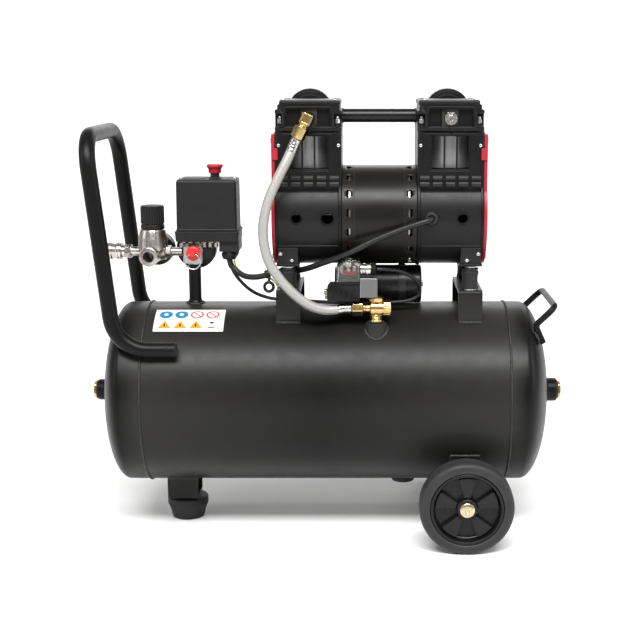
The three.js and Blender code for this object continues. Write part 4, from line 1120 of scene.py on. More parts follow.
def crankcase(side, name):
    outline = case_outline(62, 50, 507.6)
    case = Shape().prism(outline, "x", 46.6, 128)
    hollow = Shape().prism(case_outline(57.4, 45.6, 461), "x", 50.8, 130)
    case.cut(hollow)
    well = Shape().prism(rounded(rectangle(51, -46, 123.6, 46), 3), "z", 461.4, 512)
    case.cut(well)
    tools = Shape()
    tools.revolve(cylinder(30.6, 440, 463), "z", BORE_AXIS, 64)
    tools.revolve(cylinder(12, 44, 54), "x", PUMP_AXIS, 40)
    for x0, x1 in ((63.8, 78.3), (80.5, 93.5), (95.7, 108.8)):
        frame_of = rounded(rectangle(x0, 461.6, x1, 501.6), 1.4)
        tools.prism(frame_of, "y", -56, -44)
        tools.prism(frame_of, "y", 44, 56)
    for near, far in ((-53, -48.6), (48.6, 53)):
        tools.prism(rectangle(46, 433.8, 129, 437.4), "y", near, far)
        tools.prism(rectangle(55, 504.8, 119, 507.2), "y", near, far)
        tools.prism(rounded(rectangle(85.4, 502.6, 88.6, 506), 1), "y", near, far)
    for x, r in PORTS:
        tools.revolve(cylinder(r, -70, -54), "y", (x, 0, 402.5), 40)
    case.cut(tools)
    shallow = Shape()
    for near, far in ((-51, -48.8), (48.8, 51)):
        shallow.prism(rounded(rectangle(61.6, 459.4, 111, 503.4), 2), "y", near, far)
    case.cut(shallow)
    inner = [(55, 46.4), (63.4, 46.4), (63.8, 46.9), (63.8, 50.2), (63.2, 50.8), (61.4, 51), (55, 51),
             (55, 46.4)]
    outer = [(58, 124.2), (62.4, 124.4), (62.7, 125), (62.7, 127.4), (62, 128), (58, 128), (58, 124.2)]
    for band in (inner, outer):
        case.revolve(band, "x", PUMP_AXIS, 120)
    fins = [(49, 439.8), (52.2, 439.8), (53.4, 441.2), (53.6, 443.4), (52.8, 445.8), (51, 447), (50.7, 447.6),
            (52.4, 448.2), (53, 450), (52.6, 452), (51.2, 453.8), (50, 454.2), (49, 454.2)]
    pad = [(32, 344), (52, 344), (52, 362), (51, 365), (49, 366), (32, 366)]
    for y in (-1, 1):
        for k in range(-2, 3):
            x = BORE_X + 15.8 * k
            case.add(Shape().prism([(y * u, v) for u, v in fins], "x", x - 6, x + 6))
        case.prism([(y * u, v) for u, v in pad], "x", 101, 125.6)
        near, far = sorted((y * 31, y * 55))
        case.prism(rounded(rectangle(99, near, 127.6, far), 4), "z", 342, 345.2)
        case.prism([(y * 49.6, 366.4), (y * 52.8, 366.6), (y * 53, 367.8), (y * 51, 368.4)], "x", 47, 127.8)
    for x, r in PORTS:
        lip = [(0, -62.6), (0.5, -63.2), (1.3, -63.2), (1.9, -62.2), (2, -60), (0, -60), (0, -62.6)]
        case.revolve([(r + out, z) for out, z in lip], "y", (x, 0, 402.5), 40)
    case.paint = 1
    for y in (-1, 1):
        for x in (50.2, 123.4):
            case.revolve([(0, y * 51.6), (1.4, y * 51.6), (2.2, y * 51), (2.3, y * 49.6), (0, y * 49.6)], "y",
                         (x, 0, 490.5), 24)
        for x, z in ((122.4, 357), (108.5, 349)):
            case.revolve([(0, y * 53.4), (1.6, y * 53.4), (2.5, y * 52.6), (2.6, y * 49.4), (0, y * 49.4)],
                         "y",
                         (x, 0, z), 24)
    case.turned_by(pump_place(side)).piece("pump_case_" + name, "frame", "casting", [CASTING, STEEL],
                                           ("crankcase_" + name,), 0.45)
    bore = Shape()
    profile = [(30, 461.6), (32.5, 461.6), (33, 462.2), (33, 503), (33.4, 503.6), (33.4, 507), (33, 507.4),
               (30, 507.4), (30, 461.6)]
    bore.revolve(profile, "z", BORE_AXIS, 96)
    bore.turned_by(pump_place(side)).piece("bore_sleeve_" + name, "frame", "aluminium", BARREL,
                                           ("cylinder_" + name,))


def head(side, name):
    block = Shape()
    body = [(46.4, 508.3), (127.6, 508.3), (127.6, 533), (124.4, 534.5), (124.4, 539.6), (118.4, 541.4),
            (48.6, 541.4), (48.6, 533.5), (46.4, 532)]
    block.prism(rounded(body, 0.8, 2), "y", -50, 50)
    cuts = Shape()
    arch = [(59.4, 513), (114.6, 513), (114, 524), (112.4, 534.6), (61.6, 534.6), (60, 524)]
    cuts.prism(rounded(arch, 1.2, 3), "y", -52, -45.2)
    for x in (44, 118.6):
        cuts.prism(rounded(rectangle(x, 513, x + 11.4, 529), 1), "y", -52, -41)
    cuts.revolve(cylinder(6, 47, 52), "y", FILTER_AT, 32)
    block.cut(cuts)
    lid = rounded(rectangle(47.6, -51, 122.4, 51), 4)
    block.rings([[Vector((85 + (u - 85) * k, v * k, z)) for u, v in lid]
                 for k, z in ((0.985, 539.4), (1, 540), (1, 543.2), (0.985, 544.4), (0.955, 545))])
    ridge = [(55, 513.4), (55.6, 526), (58, 536), (60, 537.8), (114, 537.8), (116, 536), (118.4, 526),
             (119, 513.4), (116, 513.4), (115.4, 525), (113.2, 535), (60.8, 535), (58.6, 525), (58, 513.4)]
    block.prism(ridge, "y", -51.6, -46)
    block.prism(rounded(rectangle(46.1, -50.4, 127.9, 50.4), 3), "z", 508, 512.6)
    block.prism(rounded(rectangle(75.8, 512.6, 96, 534.8), 0.8), "y", -48.4, -45)
    block.revolve([(0, -49.4), (8.2, -49.4), (8.6, -49), (8.6, -46), (0, -46)], "y", (87, 0, 523), 40)
    for x in (51.4, 121.4):
        block.paint = 0
        block.revolve([(0, 512.4), (4.4, 512.4), (4.4, 514), (3.1, 514.4), (3.1, 517.4), (0, 517.4)], "z",
                      (x, -47, 0), 28)
        block.paint = 1
        block.hexagon(6.8, "z", 517.2, 522.4, (x, -47, 0), 0.3)
        block.revolve([(0, 522.2), (2, 522.2), (2, 525), (1.5, 525.6), (0, 525.6)], "z", (x, -47, 0), 24)
    for x in (54.4, 117.8):
        for y in (-42, 42):
            block.revolve([(0, 544.6), (3.6, 544.6), (3.6, 545.8), (3.2, 546.2), (0, 546.2)], "z",
                          (x, y, 0), 28)
    block.turned_by(pump_place(side)).piece("head_" + name, "frame", "casting", [CASTING, STEEL],
                                            ("cylinder_head_" + name,), 0.45)
    if side > 0:
        plug = Shape().hexagon(13.4, "y", -49.4, -54.4, (PUMP_X + BORE_X, 0, 523), 0.2)
        plug.revolve([(0, -54.3), (4.4, -54.3), (4.2, -55), (2.6, -55), (2.4, -53.6), (0, -53.6)], "y",
                     (PUMP_X + BORE_X, 0, 523), 40)
        plug.revolve(cylinder(7.8, -49.3, -50.3), "y", (PUMP_X + BORE_X, 0, 523), 40)
        plug.piece("head_plug", "frame", "nickel", NICKEL, (), 0.2)


def air_filter(side, name):
    shell = Shape()
    profile = [
        (0, 50.4), (9, 50.4), (9, 57.2), (16, 57.2), (17, 58.6), (21.4, 58.8), (22.4, 60.2), (25.2, 60.4),
        (26.2, 62), (28.6, 62.4), (29.5, 63.6), (29.6, 70), (28.4, 70.6), (28.4, 72.2), (29.6, 72.8),
        (29.6, 86.6),
        (28.9, 89), (26.6, 91), (22.6, 91.4), (21, 90.2), (8, 90.2), (7, 91.4), (0, 91.6)]
    shell.revolve(profile, "y", FILTER_AT, 96,
                  lambda angle, r, a: -0.7 if r > 29 and a > 72 and math.sin(angle * 32) > 0.4 else 0)
    for k in range(10):
        rib = Shape().box(8, 21.2, -0.9, 0.9, -0.6, 0.9)
        rib.turned_by(Matrix.Translation((FILTER_AT[0], 90.4, FILTER_AT[2])) @ Matrix.Rotation(TAU * k / 10,
                                                                                               4, "Y")
                      @ Matrix.Rotation(math.pi / 2, 4, "X"))
        shell.add(rib)
    shell.turned_by(pump_place(side)).piece("filter_" + name, "frame", "black_plastic", SMOOTH_PLASTIC,
                                            ("air_filter_" + name,), 0.2)


def end_cover(side, name):
    cover = Shape().prism(case_outline(62, 50, 504), "x", 128.3, 132.5)
    cuts = Shape().prism(case_outline(57.5, 46, 499.5), "x", 127, 131)
    cover.cut(cuts)
    slots = Shape()
    for k in range(-3, 4):
        rise = 13 * k
        half = math.sqrt(48 * 48 - rise * rise) - 2
        for near, far in ((-half, -4), (4, half)):
            slot = rectangle(near, PUMP_Z + rise - 3.5, far, PUMP_Z + rise + 3.5)
            slots.prism(rounded(slot, 3.2), "x", 130, 137)
    cover.cut(slots)
    for y in (-1, 1):
        near, far = sorted((y * 50.3, y * 52.4))
        cover.prism(rounded(rectangle(near, 473, far, 487), 0.6), "x", 124.5, 132.4)
        near, far = sorted((y * 47.5, y * 51.6))
        cover.box(128.4, 132.2, near, far, 473.8, 486.2)
    cover.prism(rounded(rectangle(-30, 462, 30, 490), 6), "x", 132.3, 133)
    cover.paint = 1
    for y, z in ((-42, 496), (42, 496), (-34, 352.6), (34, 352.6)):
        cover.revolve([(0, 133.8), (2.6, 133.8), (3.4, 133.2), (3.4, 132), (0, 132)], "x", (0, y, z), 24)
    cover.turned_by(pump_place(side)).piece("grille_" + name, "frame", "red_plastic", [RED, STEEL],
                                            ("end_cover_" + name,), 0.5)


def crossover():
    pipe = Shape()
    pipe.revolve([(6, -46.1), (9.3, -46.1), (9.3, -44.6), (8.6, -44), (8.6, 44), (9.3, 44.6), (9.3, 46.1),
                  (6, 46.1), (6, -46.1)], "x", (PUMP_X, 0, 525), 64)
    pipe.piece("head_link_pipe", "frame", "tank_paint", SMOOTH_PLASTIC, ("crossover_pipe",))


def mounts_and_brackets():
    for name, x in (("left", PUMP_X - 113.3), ("right", PUMP_X + 113.3)):
        strip = Shape()
        half, sheet, r, foot_z, top = 57, 3, 5, 240, 312
        outer = rounded([(-half, foot_z), (-half, top), (half, top), (half, foot_z)], [0, r, r, 0], 6)
        inside, under = half - sheet, top - sheet
        inner = rounded([(inside, foot_z), (inside, under), (-inside, under), (-inside, foot_z)],
                        [0, r - sheet, r - sheet, 0], 6)
        strip.prism(outer + inner, "x", x - 15.15, x + 15.15)
        strip.cut(tank_tool())
        strip.piece("pump_strap_" + name, "frame", "tank_paint", PAINT, ("pump_bracket_" + name,), 0.4)
        beads = Shape()
        z = TANK_Z + math.sqrt(TANK_R ** 2 - 57.6 ** 2) + 0.4
        for y in (-57.8, 57.8):
            beads.weld(along_x(x - 14.6, 29.2, y, z), 2.6, 41)
        beads.piece("strap_welds_" + name, "frame", "tank_paint", WELD)
        for end, y in (("front", -44), ("rear", 44)):
            mount = Shape()
            waist = [(0, 312.6), (10.2, 312.6), (10.7, 313.2), (10.5, 316), (9.8, 319), (9.6, 324),
                     (9.8, 329),
                     (10.5, 332), (10.7, 334.6), (10.2, 335.2), (9.4, 335.4), (9.4, 337.4), (0, 337.4)]
            mount.revolve(waist, "z", (x, y, 0), 48)
            mount.revolve(cylinder(10.4, 337.4, 338.8), "z", (x, y, 0), 40)
            mount.paint = 1
            mount.hexagon(15, "z", 338.8, 341.7, (x, y, 0), 0.3)
            mount.revolve(cylinder(10.6, 312.2, 313), "z", (x, y, 0), 40)
            mount.piece("mount_{}_{}_rubber".format(name, end), "frame", "rubber", [RUBBER, STEEL],
                        ("mount_{}_{}".format(name, end),), 0.2)


motor()
rotor()
for SIDE, NAME in ((1, "right"), (-1, "left")):
    piston(SIDE, NAME)
    crankcase(SIDE, NAME)
    head(SIDE, NAME)
    air_filter(SIDE, NAME)
    end_cover(SIDE, NAME)
crossover()
mounts_and_brackets()


# ------------------------------------------------------------------ discharge fittings and relief valve

def elbow():
    turn = Matrix.Translation((-17.2, -68, 523.7)) @ Matrix.Rotation(math.radians(26.8), 4, "Y")
    body = Shape().prism(rounded(rectangle(-6.6, -7.5, 6.6, 6), 1.6), "y", -8, 8)
    body.cut(Shape().prism(rounded(rectangle(-5, -5.4, 5, 4.4), 1.4), "y", -9, -5))
    body.revolve(cylinder(5.4, 7.8, 17.6), "y", (0, 0, 0), 32)
    neck = [(0, -6.9), (6, -7), (6.4, -8), (5.6, -9), (6.2, -10), (6.4, -11.4), (0, -11.4)]
    body.revolve(neck, "z", (0, 0, 0), 40)
    body.hexagon(18.4, "z", -11.2, -26.4, (0, 0, 0), 0.15)
    for z in (-13.6, -24):
        body.revolve([(7.7, z - 0.4), (8.5, z), (7.7, z + 0.4)], "z", (0, 0, 0), 48)
    body.turned_by(turn).piece("outlet_elbow", "frame", "brass", BRASS, ("discharge_elbow",), 0.3)


def ferrules():
    """The crimped collars at the two ends of the hose."""
    line = flowing(HOSE_ROUTE, 0.8)
    collars = Shape()

    def groove(angle, distance):
        pressed = 0.35 if math.sin(distance * 1.5) > 0.2 else 0
        return 0.5 - pressed * (0.5 + 0.5 * math.cos(8 * angle))
    for part in (line[:24], line[-24:]):
        collars.sweep(part, 6, 48, groove)
    collars.piece("hose_collars", "frame", "nickel", NICKEL)


def check_valve():
    """The brass cross-piece on the tank, with the hose's nut at its left end."""
    line = (0, VALVE_Y, VALVE_Z)
    valve = Shape()
    valve.hexagon(18.8, "x", 37, 50.6, line, 0.2)
    for x in (38.6, 48.8):
        valve.revolve([(8, x - 0.4), (8.8, x), (8, x + 0.4)], "x", line, 40)
    profile = [
        (0, 50.4), (5, 50.6), (5.6, 51.4), (5.6, 53), (5, 53.6), (5.6, 54.2), (5.6, 58.8), (9, 59.4),
        (10, 60.4),
        (10, 66), (9.4, 66.6), (9.4, 68.4), (10, 69), (10, 74), (9.5, 74.6), (9.5, 76), (10.2, 76.8),
        (10.2, 84),
        (9.4, 85), (4, 85), (3.6, 83.6), (0, 83.6)]
    valve.revolve(profile, "x", line, 84,
                  lambda angle, r, a: -0.3 if a > 76.5 and r > 10 and math.sin(angle * 14) > 0.3 else 0)
    valve.hexagon(20, "z", 300.4, 306, VALVE_AXIS, 0.3)
    stem = [(0, 274.6), (8.2, 274.6), (8.4, 275.2), (8.4, 277.6), (7.6, 278.4), (6.8, 279), (7.4, 280.2),
            (6.8, 281.4), (7.4, 282.6), (6.8, 284), (0, 286)]
    valve.revolve(stem, "z", VALVE_AXIS, 48)
    valve.piece("tank_check_valve", "frame", "brass", BRASS, ("check_valve",), 0.25)
    seal = [(7.4, 274.1), (9.6, 274.1), (10, 274.8), (9.8, 275.8), (8.4, 276), (7.4, 275.4), (7.4, 274.1)]
    Shape().revolve(seal, "z", VALVE_AXIS, 48).piece("check_valve_seal", "frame", "rubber", RUBBER)


def relief_valve():
    y = VALVE_Y
    block = Shape()
    cube = rectangle(46.6, y - 10.7, 68.4, y + 10.7)
    block.prism(rounded(cube, 1.2), "z", 306.5, 330.6)
    block.revolve(cylinder(5, 330.4, 331.4), "z", (57.5, y, 0), 32)
    block.piece("relief_block", "frame", "nickel", DULL_METAL, ("solenoid_valve",), 0.6)
    coil = Shape()
    housing = [(6.6, 302), (46.4, 302), (46.4, 323.4), (10, 323.4), (6.6, 319)]
    coil.prism(rounded(housing, 1.4), "y", y - 11, y + 11)
    for x in (14, 20.5, 27, 33.5, 40):
        coil.prism(rounded(rectangle(x - 1.1, 304, x + 1.1, 317), 0.6), "y",
                   y - 11.7, y - 10.6)
    coil.prism(rounded(rectangle(18.4, 323, 46.6, 326), 0.8), "y", y - 12.4, y + 12.4)
    nut = [(5.6, 60), (6.6, 60.2), (7.4, 61), (7.6, 62), (7.6, 66), (6.6, 66.8), (5, 67), (2.4, 67),
           (2.4, 60),
           (5.6, 60)]
    coil.revolve(nut, "x", (0, y, 340.6), 48,
                 lambda angle, r, a: -0.5 if r > 7 and math.sin(angle * 12) > 0.2 else 0)
    coil.piece("relief_coil", "frame", "black_plastic", DARK_PLASTIC, (), 0.3)
    metal = Shape()
    for z in (305.6, 311.6):
        metal.hexagon(6.4, "x", 7, 3.4, (0, y - 4, z + 1.6), 0.4)
    metal.revolve([(0, 1.8), (3, 1.8), (3.4, 2.4), (3.4, 7), (0, 7)], "x", (0, y + 4, 312), 28)
    metal.revolve([(3, 47), (6.8, 47), (7.2, 47.6), (7.2, 50), (6.4, 50.6), (6.4, 53.4), (7.2, 54), (7.2, 60),
                   (3, 60), (3, 47)], "x", (0, y, 340.6), 48)
    metal.piece("relief_fittings", "frame", "nickel", NICKEL, (), 0.25)
    case = Shape().prism(rounded([(18.2, 326.2), (46.8, 326.2), (46.8, 353), (27, 353), (18.2, 345)], 2), "y",
                         y - 12.6, y + 12.6)
    case.cut(Shape().prism(rounded([(20, 325), (45, 325), (45, 351.2), (27.8, 351.2), (20, 344.2)], 1.6), "y",
                           y - 10.8, y + 10.8))
    case.revolve([(0, 350), (3.4, 350), (3.8, 353.4), (3.2, 354.4), (0, 354.4)], "z", (33, y, 0), 28)
    case.piece("relief_plug_case", "frame", "black_plastic", CLEAR, (), 0.4)
    inside = Shape()
    inside.box(21, 44, y - 9, y + 9, 326.4, 333)
    inside.paint = 1
    inside.prism(rounded(rectangle(26, y - 9, 44, y + 7), 1), "z", 334.4, 339.4)
    inside.paint = 2
    for x in (24.4, 33, 40):
        inside.revolve([(0, 339), (2.4, 339), (2.4, 344), (1.6, 345.4), (0, 345.4)], "z", (x, y - 6, 0), 20)
        inside.box(x - 0.8, x + 0.8, y + 2, y + 5, 333, 346)
    inside.box(30, 36, y - 5, y + 2, 344, 349)
    inside.piece("relief_plug_inside", "frame", "red_plastic", [SMOOTH_PLASTIC, RED, NICKEL], (), 0.2)


def capacitor():
    can = Shape()
    can.revolve([(0, 14.5), (20.6, 14.5), (21.4, 15.2), (21.6, 16.6), (23.6, 17.2), (24.2, 18.2), (24.2, 119),
                 (24.3, 119.4), (24.3, 122.6), (23.4, 124.2), (21.8, 124.9), (17, 124.9), (16.4, 123.6),
                 (9, 123.2), (5, 123.2), (5, 124.4), (0, 124.4)], "x", CAPACITOR_AXIS, 96)
    for x in (36, 100):
        can.revolve([(24.1, x - 5), (24.9, x - 4.6), (24.9, x + 4.6), (24.1, x + 5)], "x", CAPACITOR_AXIS, 96)
    can.paint = 1
    can.hexagon(8, "x", 124.3, 127.4, CAPACITOR_AXIS, 0.2)
    can.piece("capacitor_can", "frame", "black_plastic", [SMOOTH_PLASTIC, STEEL], ("capacitor",))
    stand = Shape()
    for x in (36, 100):
        stand.box(x - 4, x + 4, -3, 3, 336, 338.2)
        stand.box(x - 4, x + 4, -9, 9, 336.4, 337.6)
    stand.piece("capacitor_clamps", "frame", "steel", PAINT, (), 0.3)


elbow()
ferrules()
check_valve()
relief_valve()
capacitor()


def small_things():
    grommet = Shape().revolve([(3.9, -65.4), (6.6, -65.2), (7.6, -64), (7.6, -62.4), (6.4, -61.8), (6.2, -57),
                               (3.9, -57), (3.9, -65.4)], "y", (134.6, 0, 402.5), 40)
    grommet.piece("lead_grommet", "frame", "rubber", RUBBER)
    tie = Shape()
    ring = [Vector((-68 + 5.6 * math.cos(TAU * k / 48), -31, 312.6 + 5.8 * math.sin(TAU * k / 48)))
            for k in range(49)]
    tie.sweep(ring, 2, 16)
    profile = [(3.8, -3), (5.2, -2.8), (5.4, 0), (5.2, 2.8), (3.8, 3), (3.8, -3)]
    band = Shape().revolve(profile, "x", (0, 0, 0), 40)
    lean = Matrix.Rotation(math.radians(-16), 4, "Y")
    tie.add(band.turned_by(Matrix.Translation((-70, -26.3, 328.2)) @ lean))
    tie.box(-69.6, -66.4, -30.4, -27, 317.6, 324.6)
    tie.piece("lead_clip", "frame", "black_plastic", SMOOTH_PLASTIC, (), 0.2)
    route = [(-113.6, -8.4, 346.4), (-112.2, -8.6, 338), (-106.6, -9.6, 330), (-97, -13.4, 325.6),
             (-86, -17.2, 324.2), (-76, -19.4, 324.6), (-66, -22.2, 321.6), (-58.4, -24, 313.8)]
    line = flowing(route, 1.2)
    wire = Shape().sweep(line, 1.1, 14).piece("earth_wire", "frame", "rubber", EARTH)
    print("earth_wire length", round(line_length(line), 1), "mm")
    screw_at = (-55, -25, 0)
    lug = Shape().revolve(tube(2, 4, 312.2, 313.2), "z", screw_at, 28)
    lug.box(-59.6, -57.4, -26.4, -23.6, 312.3, 313.6)
    lug.revolve([(0, 312.4), (3.4, 313.2), (3.4, 314.4), (2.4, 315.4), (0, 315.6)], "z", screw_at, 28)
    lug.piece("earth_lug", "frame", "steel", STEEL, (), 0.15)


small_things()


# ------------------------------------------------------------------ pressure switch, safety valve and gauges

def switch():
    base = Shape()
    lip = rounded(rectangle(-186, -29, -105, 29), 4)
    middle_x = -145.5

    def level(scale, z):
        return [Vector((middle_x + (u - middle_x) * scale, v * scale, z)) for u, v in lip]
    base.rings([level(0.955, 369), level(0.975, 370.4), level(0.99, 379.6), level(1, 380.4), level(1, 382)])
    base.prism(rounded(rectangle(-131, -23.5, -106, 23.5), 3), "z", 356, 370)
    for k in range(6):
        x = -180 + 8.6 * k
        base.prism(rounded(rectangle(x - 1, -25, x + 1, 25), 0.6), "z", 366.6, 369.4)
    for y in (-GLAND_Y, GLAND_Y):
        base.revolve([(4.3, 345.5), (7.4, 345.5), (8.6, 346.6), (9.8, 350), (10, 353), (8.8, 354), (8.8, 357),
                      (4.3, 357), (4.3, 345.5)], "z", (GLAND_X, y, 0), 64,
                     lambda angle, r, a: -0.4 if r > 9 and a < 353.8 and math.sin(angle * 12) > 0.2 else 0)
    base.piece("switch_tray", "frame", "black_plastic", PLASTIC, ("switch_base",), 0.4)
    lid = Shape()
    plan = rounded(rectangle(-184, -27, -107, 27), 4)

    def ring(inset, z):
        kx, ky = 1 - inset / 38.5, 1 - inset / 27
        return [Vector((middle_x + (u - middle_x) * kx, v * ky, z)) for u, v in plan]
    levels = ((0.2, 382.3), (0, 382.9), (0, 384.4), (0.5, 385), (0.9, 442), (1.3, 444.4), (2.4, 446.2),
              (4.4, 447))
    lid.rings([ring(inset, z) for inset, z in levels])
    lid.prism(rounded(rectangle(-176, -17, -147, 17), 5), "z", 446.4, 447.7)
    lid.cut(Shape().revolve(cylinder(6.4, 436, 451), "z", BUTTON_AXIS, 40))
    lid.revolve([(6.4, 446.8), (8.4, 446.8), (8.4, 447.5), (7.8, 448.1), (6.4, 448.1), (6.4, 446.8)], "z",
                BUTTON_AXIS, 40)
    lid.piece("switch_lid", "frame", "black_plastic", PLASTIC, ("switch_cover",), 0.35)
    screws = Shape()
    for x in (-180, -111.4):
        screws.revolve([(0, 448.3), (1.2, 448.3), (2.9, 447.6), (3.1, 446.4), (0, 446.4)], "z", (x, 0, 0), 24)
    screws.piece("switch_screws", "frame", "steel", STEEL)
    knob = Shape()
    knob.revolve([(0, 436), (5.6, 436), (5.8, 436.4), (5.8, 453.4), (0, 453.4)], "z", BUTTON_AXIS, 40)
    knob.paint = 1
    knob.revolve([(0, 453.2), (7.4, 453.2), (8, 453.9), (8.1, 458.2), (9, 459.6), (10.2, 461), (10.4, 462.4),
                  (9.9, 463.8), (8.8, 464.3), (3, 464), (0, 463.8)], "z", BUTTON_AXIS, 64,
                 lambda angle, r, a: -0.35 if 7.9 < r < 9.5 and math.sin(angle * 16) > 0.3 else 0)
    knob.piece("start_button", "start_knob", "red_plastic", [SMOOTH_PLASTIC, RED], ("switch_knob",))
    works = Shape()
    works.prism(rounded(rectangle(-172, -20, -124, 20), 2), "z", 382.4, 391)
    works.prism(rounded(rectangle(-172, -18, -150, 18), 2), "z", 390, 430)
    works.revolve(cylinder(8, 390, 434), "z", BUTTON_AXIS, 32)
    works.piece("switch_works", "frame", "black_plastic", SMOOTH_PLASTIC, ("switch_contacts",), 0.4)


def manifold():
    body = Shape()
    body.prism(rounded(rectangle(-178, -13, -156, 13), 2.6), "z", 339.5, 361.4)
    body.prism(rounded(rectangle(-176.6, -11.6, -157.4, 11.6), 2.4), "z", 361, 364)
    body.hexagon(25, "z", 362.6, 367.2, RISER_AXIS, 0.3)
    body.prism(rounded(rectangle(-182, -17, -128, 17), 4), "z", 366.6, 368.7)
    for x in (-179, -171, -150.5, -143, -135.5):
        body.hexagon(6.4, "z", 361, 366.8, (x, -15, 0), 0.2)
    body.hexagon(20, "z", 337.5, 340, RISER_AXIS, 0.3)
    body.hexagon(19, "y", -12, -21.8, SAFETY_AT, 0.1)
    body.revolve([(0, -21.6), (7.2, -21.6), (7.8, -22.4), (7.8, -24.4), (7, -25), (7.8, -25.8), (7.8, -29.5),
                  (0, -29.5)], "y", SAFETY_AT, 48)
    body.revolve(cylinder(6.6, 12, 17), "y", (-167.3, 0, 352), 32)
    body.piece("air_manifold", "frame", "nickel", CAST_NICKEL, ("manifold",), 0.35)
    cap = Shape()
    skirt = [(0, -29.8), (8.8, -29.8), (9.3, -30.3), (9.3, -37.6), (8.7, -39), (7.4, -39.9), (5, -40.2),
             (0, -40.2)]
    cap.revolve(skirt, "y", SAFETY_AT, 72,
                lambda angle, r, a: -0.45 if r > 9 and math.sin(angle * 12) > 0.35 else 0)
    cap.revolve([(0, -39.6), (3.6, -39.8), (3.6, -45.2), (3.1, -46), (0, -46)], "y", SAFETY_AT, 40)
    cap.cut(Shape().revolve(cylinder(1.9, -8, 8), "x", (-161.7, -42.5, 355.8), 28))
    cap.piece("safety_cap", "relief_cap", "red_plastic", CAP_RED, ("safety_valve_cap",), 0.25)
    circle = [Vector((-161.7 + 9.5 * math.sin(TAU * k / 96), -42.5, 346.3 + 9.5 * math.cos(TAU * k / 96)))
              for k in range(97)]
    Shape().sweep(circle, 0.9, 16, caps=(False, False)).piece(
        "key_ring", "relief_ring", "steel", STEEL, ("pull_ring",))


def gauge(name, radius, start, back, turn, needle_body, needle_length):
    """A dial gauge that faces +Y, in its own frame, placed by turn."""
    case = Shape()
    front = back + 19
    neck = [(0, start), (5.6, start), (6, start + 0.5), (6, back + 0.6)]
    rear = [(radius - 3, back + 0.2), (radius - 0.8, back + 1), (radius, back + 2.4)]
    bezel = [(0, -4), (0.5, -3.4), (0.5, -2.8), (0, -2.2), (0.1, -0.8), (1.2, 0), (2.5, -0.4), (2.7, -6)]
    rim = [(radius - inset, front + along) for inset, along in bezel]
    case.revolve([*neck, *rear, *rim, (0, front - 6)], "y", (0, 0, 0), 96)
    case.turned_by(turn).piece(name + "_case", "frame", "black_plastic", SMOOTH_PLASTIC, (name,))
    dial = Shape()
    face_at = front - 5.7
    dial.revolve(cylinder(radius - 2.9, face_at - 0.2, face_at), "y", (0, 0, 0), 96)
    for k in range(41):
        half, length = (0.28, 7.4) if k % 5 == 0 else (0.14, 5.6)
        tick = Shape()
        tick.paint = 1
        tick.box(-half, half, face_at - 0.1, face_at + 0.12, radius - length, radius - 4)
        dial.add(tick.turned_by(Matrix.Rotation(math.radians(-135 + 270 * k / 40), 4, "Y")))
    dial.paint = 2
    arc = []
    for r in (radius - 4.6, radius - 3.8):
        arc.append([Vector((r * math.sin(math.radians(a)), face_at + 0.05, r * math.cos(math.radians(a))))
                    for a in range(-135, -94, 4)])
    dial.rings(arc, closed_ring=False, caps=(False, False))
    dial.turned_by(turn).piece(name + "_dial", "frame", "white_plastic", [DIAL, INK, CAP_RED])
    pane = [(0, -1.8), (radius - 2.8, -1.8), (radius - 2.8, -1), (8, -0.6), (0, -0.5)]
    lens = Shape().revolve([(r, front + along) for r, along in pane], "y", (0, 0, 0), 72)
    lens.turned_by(turn).piece(name + "_lens", "frame", "white_plastic", GLASS)
    pointer = Shape()
    at = back + 13.6
    pointer.prism(rounded([(-0.9, 5), (0.9, 5), (1.3, 0), (0.25, -needle_length), (-0.25, -needle_length),
                           (-1.3, 0)], 0.2, 2), "y", at + 0.3, at + 0.9)
    pointer.revolve([(0, at), (2.3, at), (2.3, at + 1), (1.6, at + 1.5), (0, at + 1.5)], "y", (0, 0, 0), 32)
    pointer.turned_by(turn @ Matrix.Rotation(-math.pi / 4, 4, "Y"))
    pointer.piece(name + "_pointer", needle_body, "black_plastic", INK, (name + "_needle",))


REGULATOR_TURN = Matrix.Translation(RISER_AXIS) @ Matrix.Rotation(math.radians(-4), 4, "Z")
REGULATOR_X = -53
PORT_Z = 349.5


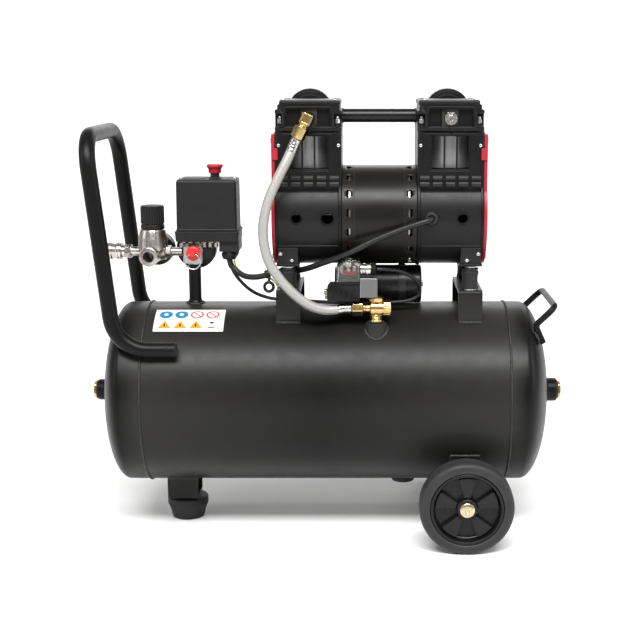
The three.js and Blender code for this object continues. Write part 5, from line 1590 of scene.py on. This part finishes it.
def regulator():
    body = Shape()
    bonnet = [
        (0, 340.6), (7.6, 340.6), (9, 341.6), (10.4, 344), (13, 347), (14.6, 350), (16.8, 353), (18.4, 355.6),
        (18.8, 357.4), (18.9, 362), (18.6, 366), (18.2, 370), (18.4, 370.8), (18.2, 371.6), (17.2, 376),
        (16, 380.8), (14.6, 382), (0, 382)]
    body.revolve(bonnet, "z", (REGULATOR_X, 0, 0), 96,
                 lambda angle, r, a: -0.5 if r > 17 and 356 < a < 377 and math.sin(angle * 10) > 0.72 else 0)
    crosspiece = [(0, -67.9), (9.8, -67.9), (10.5, -67.2), (10.5, -37), (9.4, -36), (0, -36)]
    body.revolve(crosspiece, "x", AIR_AXIS, 56)
    body.revolve([(7, -30), (10.8, -30), (12, -29.2), (12.2, -27), (12.2, -22), (11.4, -19), (11.4, 0),
                  (7, 0), (7, -30)], "y", (REGULATOR_X, 0, PORT_Z), 64)
    body.revolve([(0, 0), (8, 0), (8, 13), (7, 15), (0, 15)], "y", (REGULATOR_X, 0, AIR_Z), 48)
    body.revolve(cylinder(7.1, -9, -8.6), "y", (REGULATOR_X, 0, PORT_Z), 40)
    body.hexagon(16.4, "x", -36.4, -29.2, AIR_AXIS, 0.2)
    body.revolve([(0, -29.4), (5.4, -29.4), (5.6, -28), (5.2, -26.8), (5.6, -25.4), (5.2, -24), (5.6, -22.6),
                  (5.2, -21), (5.2, -15.4), (0, -15.4)], "x", AIR_AXIS, 40)
    body.turned_by(REGULATOR_TURN).piece("regulator_casting", "frame", "nickel", CAST_NICKEL,
                                         ("regulator_body",), 0.35)
    knob = Shape()
    knob.revolve([(0, 382.4), (14.5, 382.4), (15, 383), (15, 387), (14, 387.8), (14, 388.8), (15, 389.6),
                  (15, 409.6), (14.4, 411.4), (13.2, 412), (0, 412)], "z", (REGULATOR_X, 0, 0), 216,
                 lambda angle, r, a: -0.9 if r > 14.1 and a > 389 and math.sin(angle * 27) > 0.1 else 0)
    knob.turned_by(REGULATOR_TURN).piece("regulator_grip", "pressure_knob", "black_plastic", PLASTIC,
                                         ("regulator_knob",), 0.2)
    coupler = Shape()
    coupler.revolve(tube(4.8, 5.9, -81, -68.4), "x", AIR_AXIS, 48)
    coupler.hexagon(17.6, "x", -80.6, -89, AIR_AXIS, 0.25)
    coupler.revolve([(4.8, -115), (7.4, -115), (8, -114.2), (8, -89), (4.8, -89), (4.8, -115)], "x",
                    AIR_AXIS, 56)
    coupler.turned_by(REGULATOR_TURN)
    coupler.piece("coupler_core", "frame", "nickel", NICKEL, ("coupler_body",), 0.25)
    sleeve = Shape()
    profile = [
        (8.3, -114.5), (10.2, -114.5), (10.9, -113.8), (11, -112.8), (11, -110), (10.5, -109.6), (10.5, -109),
        (11, -108.6), (11, -106.6), (10.4, -105.8), (10, -105.2), (10, -101.2), (10.4, -100.4), (11, -99.6),
        (11, -97.4), (10.5, -97), (10.5, -96.4), (11, -96), (11, -94), (10.5, -93.2), (8.3, -93),
        (8.3, -114.5)]
    sleeve.revolve(profile, "x", AIR_AXIS, 96)
    sleeve.turned_by(REGULATOR_TURN).piece("coupler_collar", "sleeve", "nickel", NICKEL, ("coupler_sleeve",))


switch()
manifold()
gauge("tank_gauge", 26, 17.3, 35, Matrix.Translation((-167.3, 0, 352)), "tank_needle", 16)
gauge("outlet_gauge", 21, 15.3, 19.3, REGULATOR_TURN @ Matrix.Translation((REGULATOR_X, 0, AIR_Z)),
      "outlet_needle", 14)
regulator()
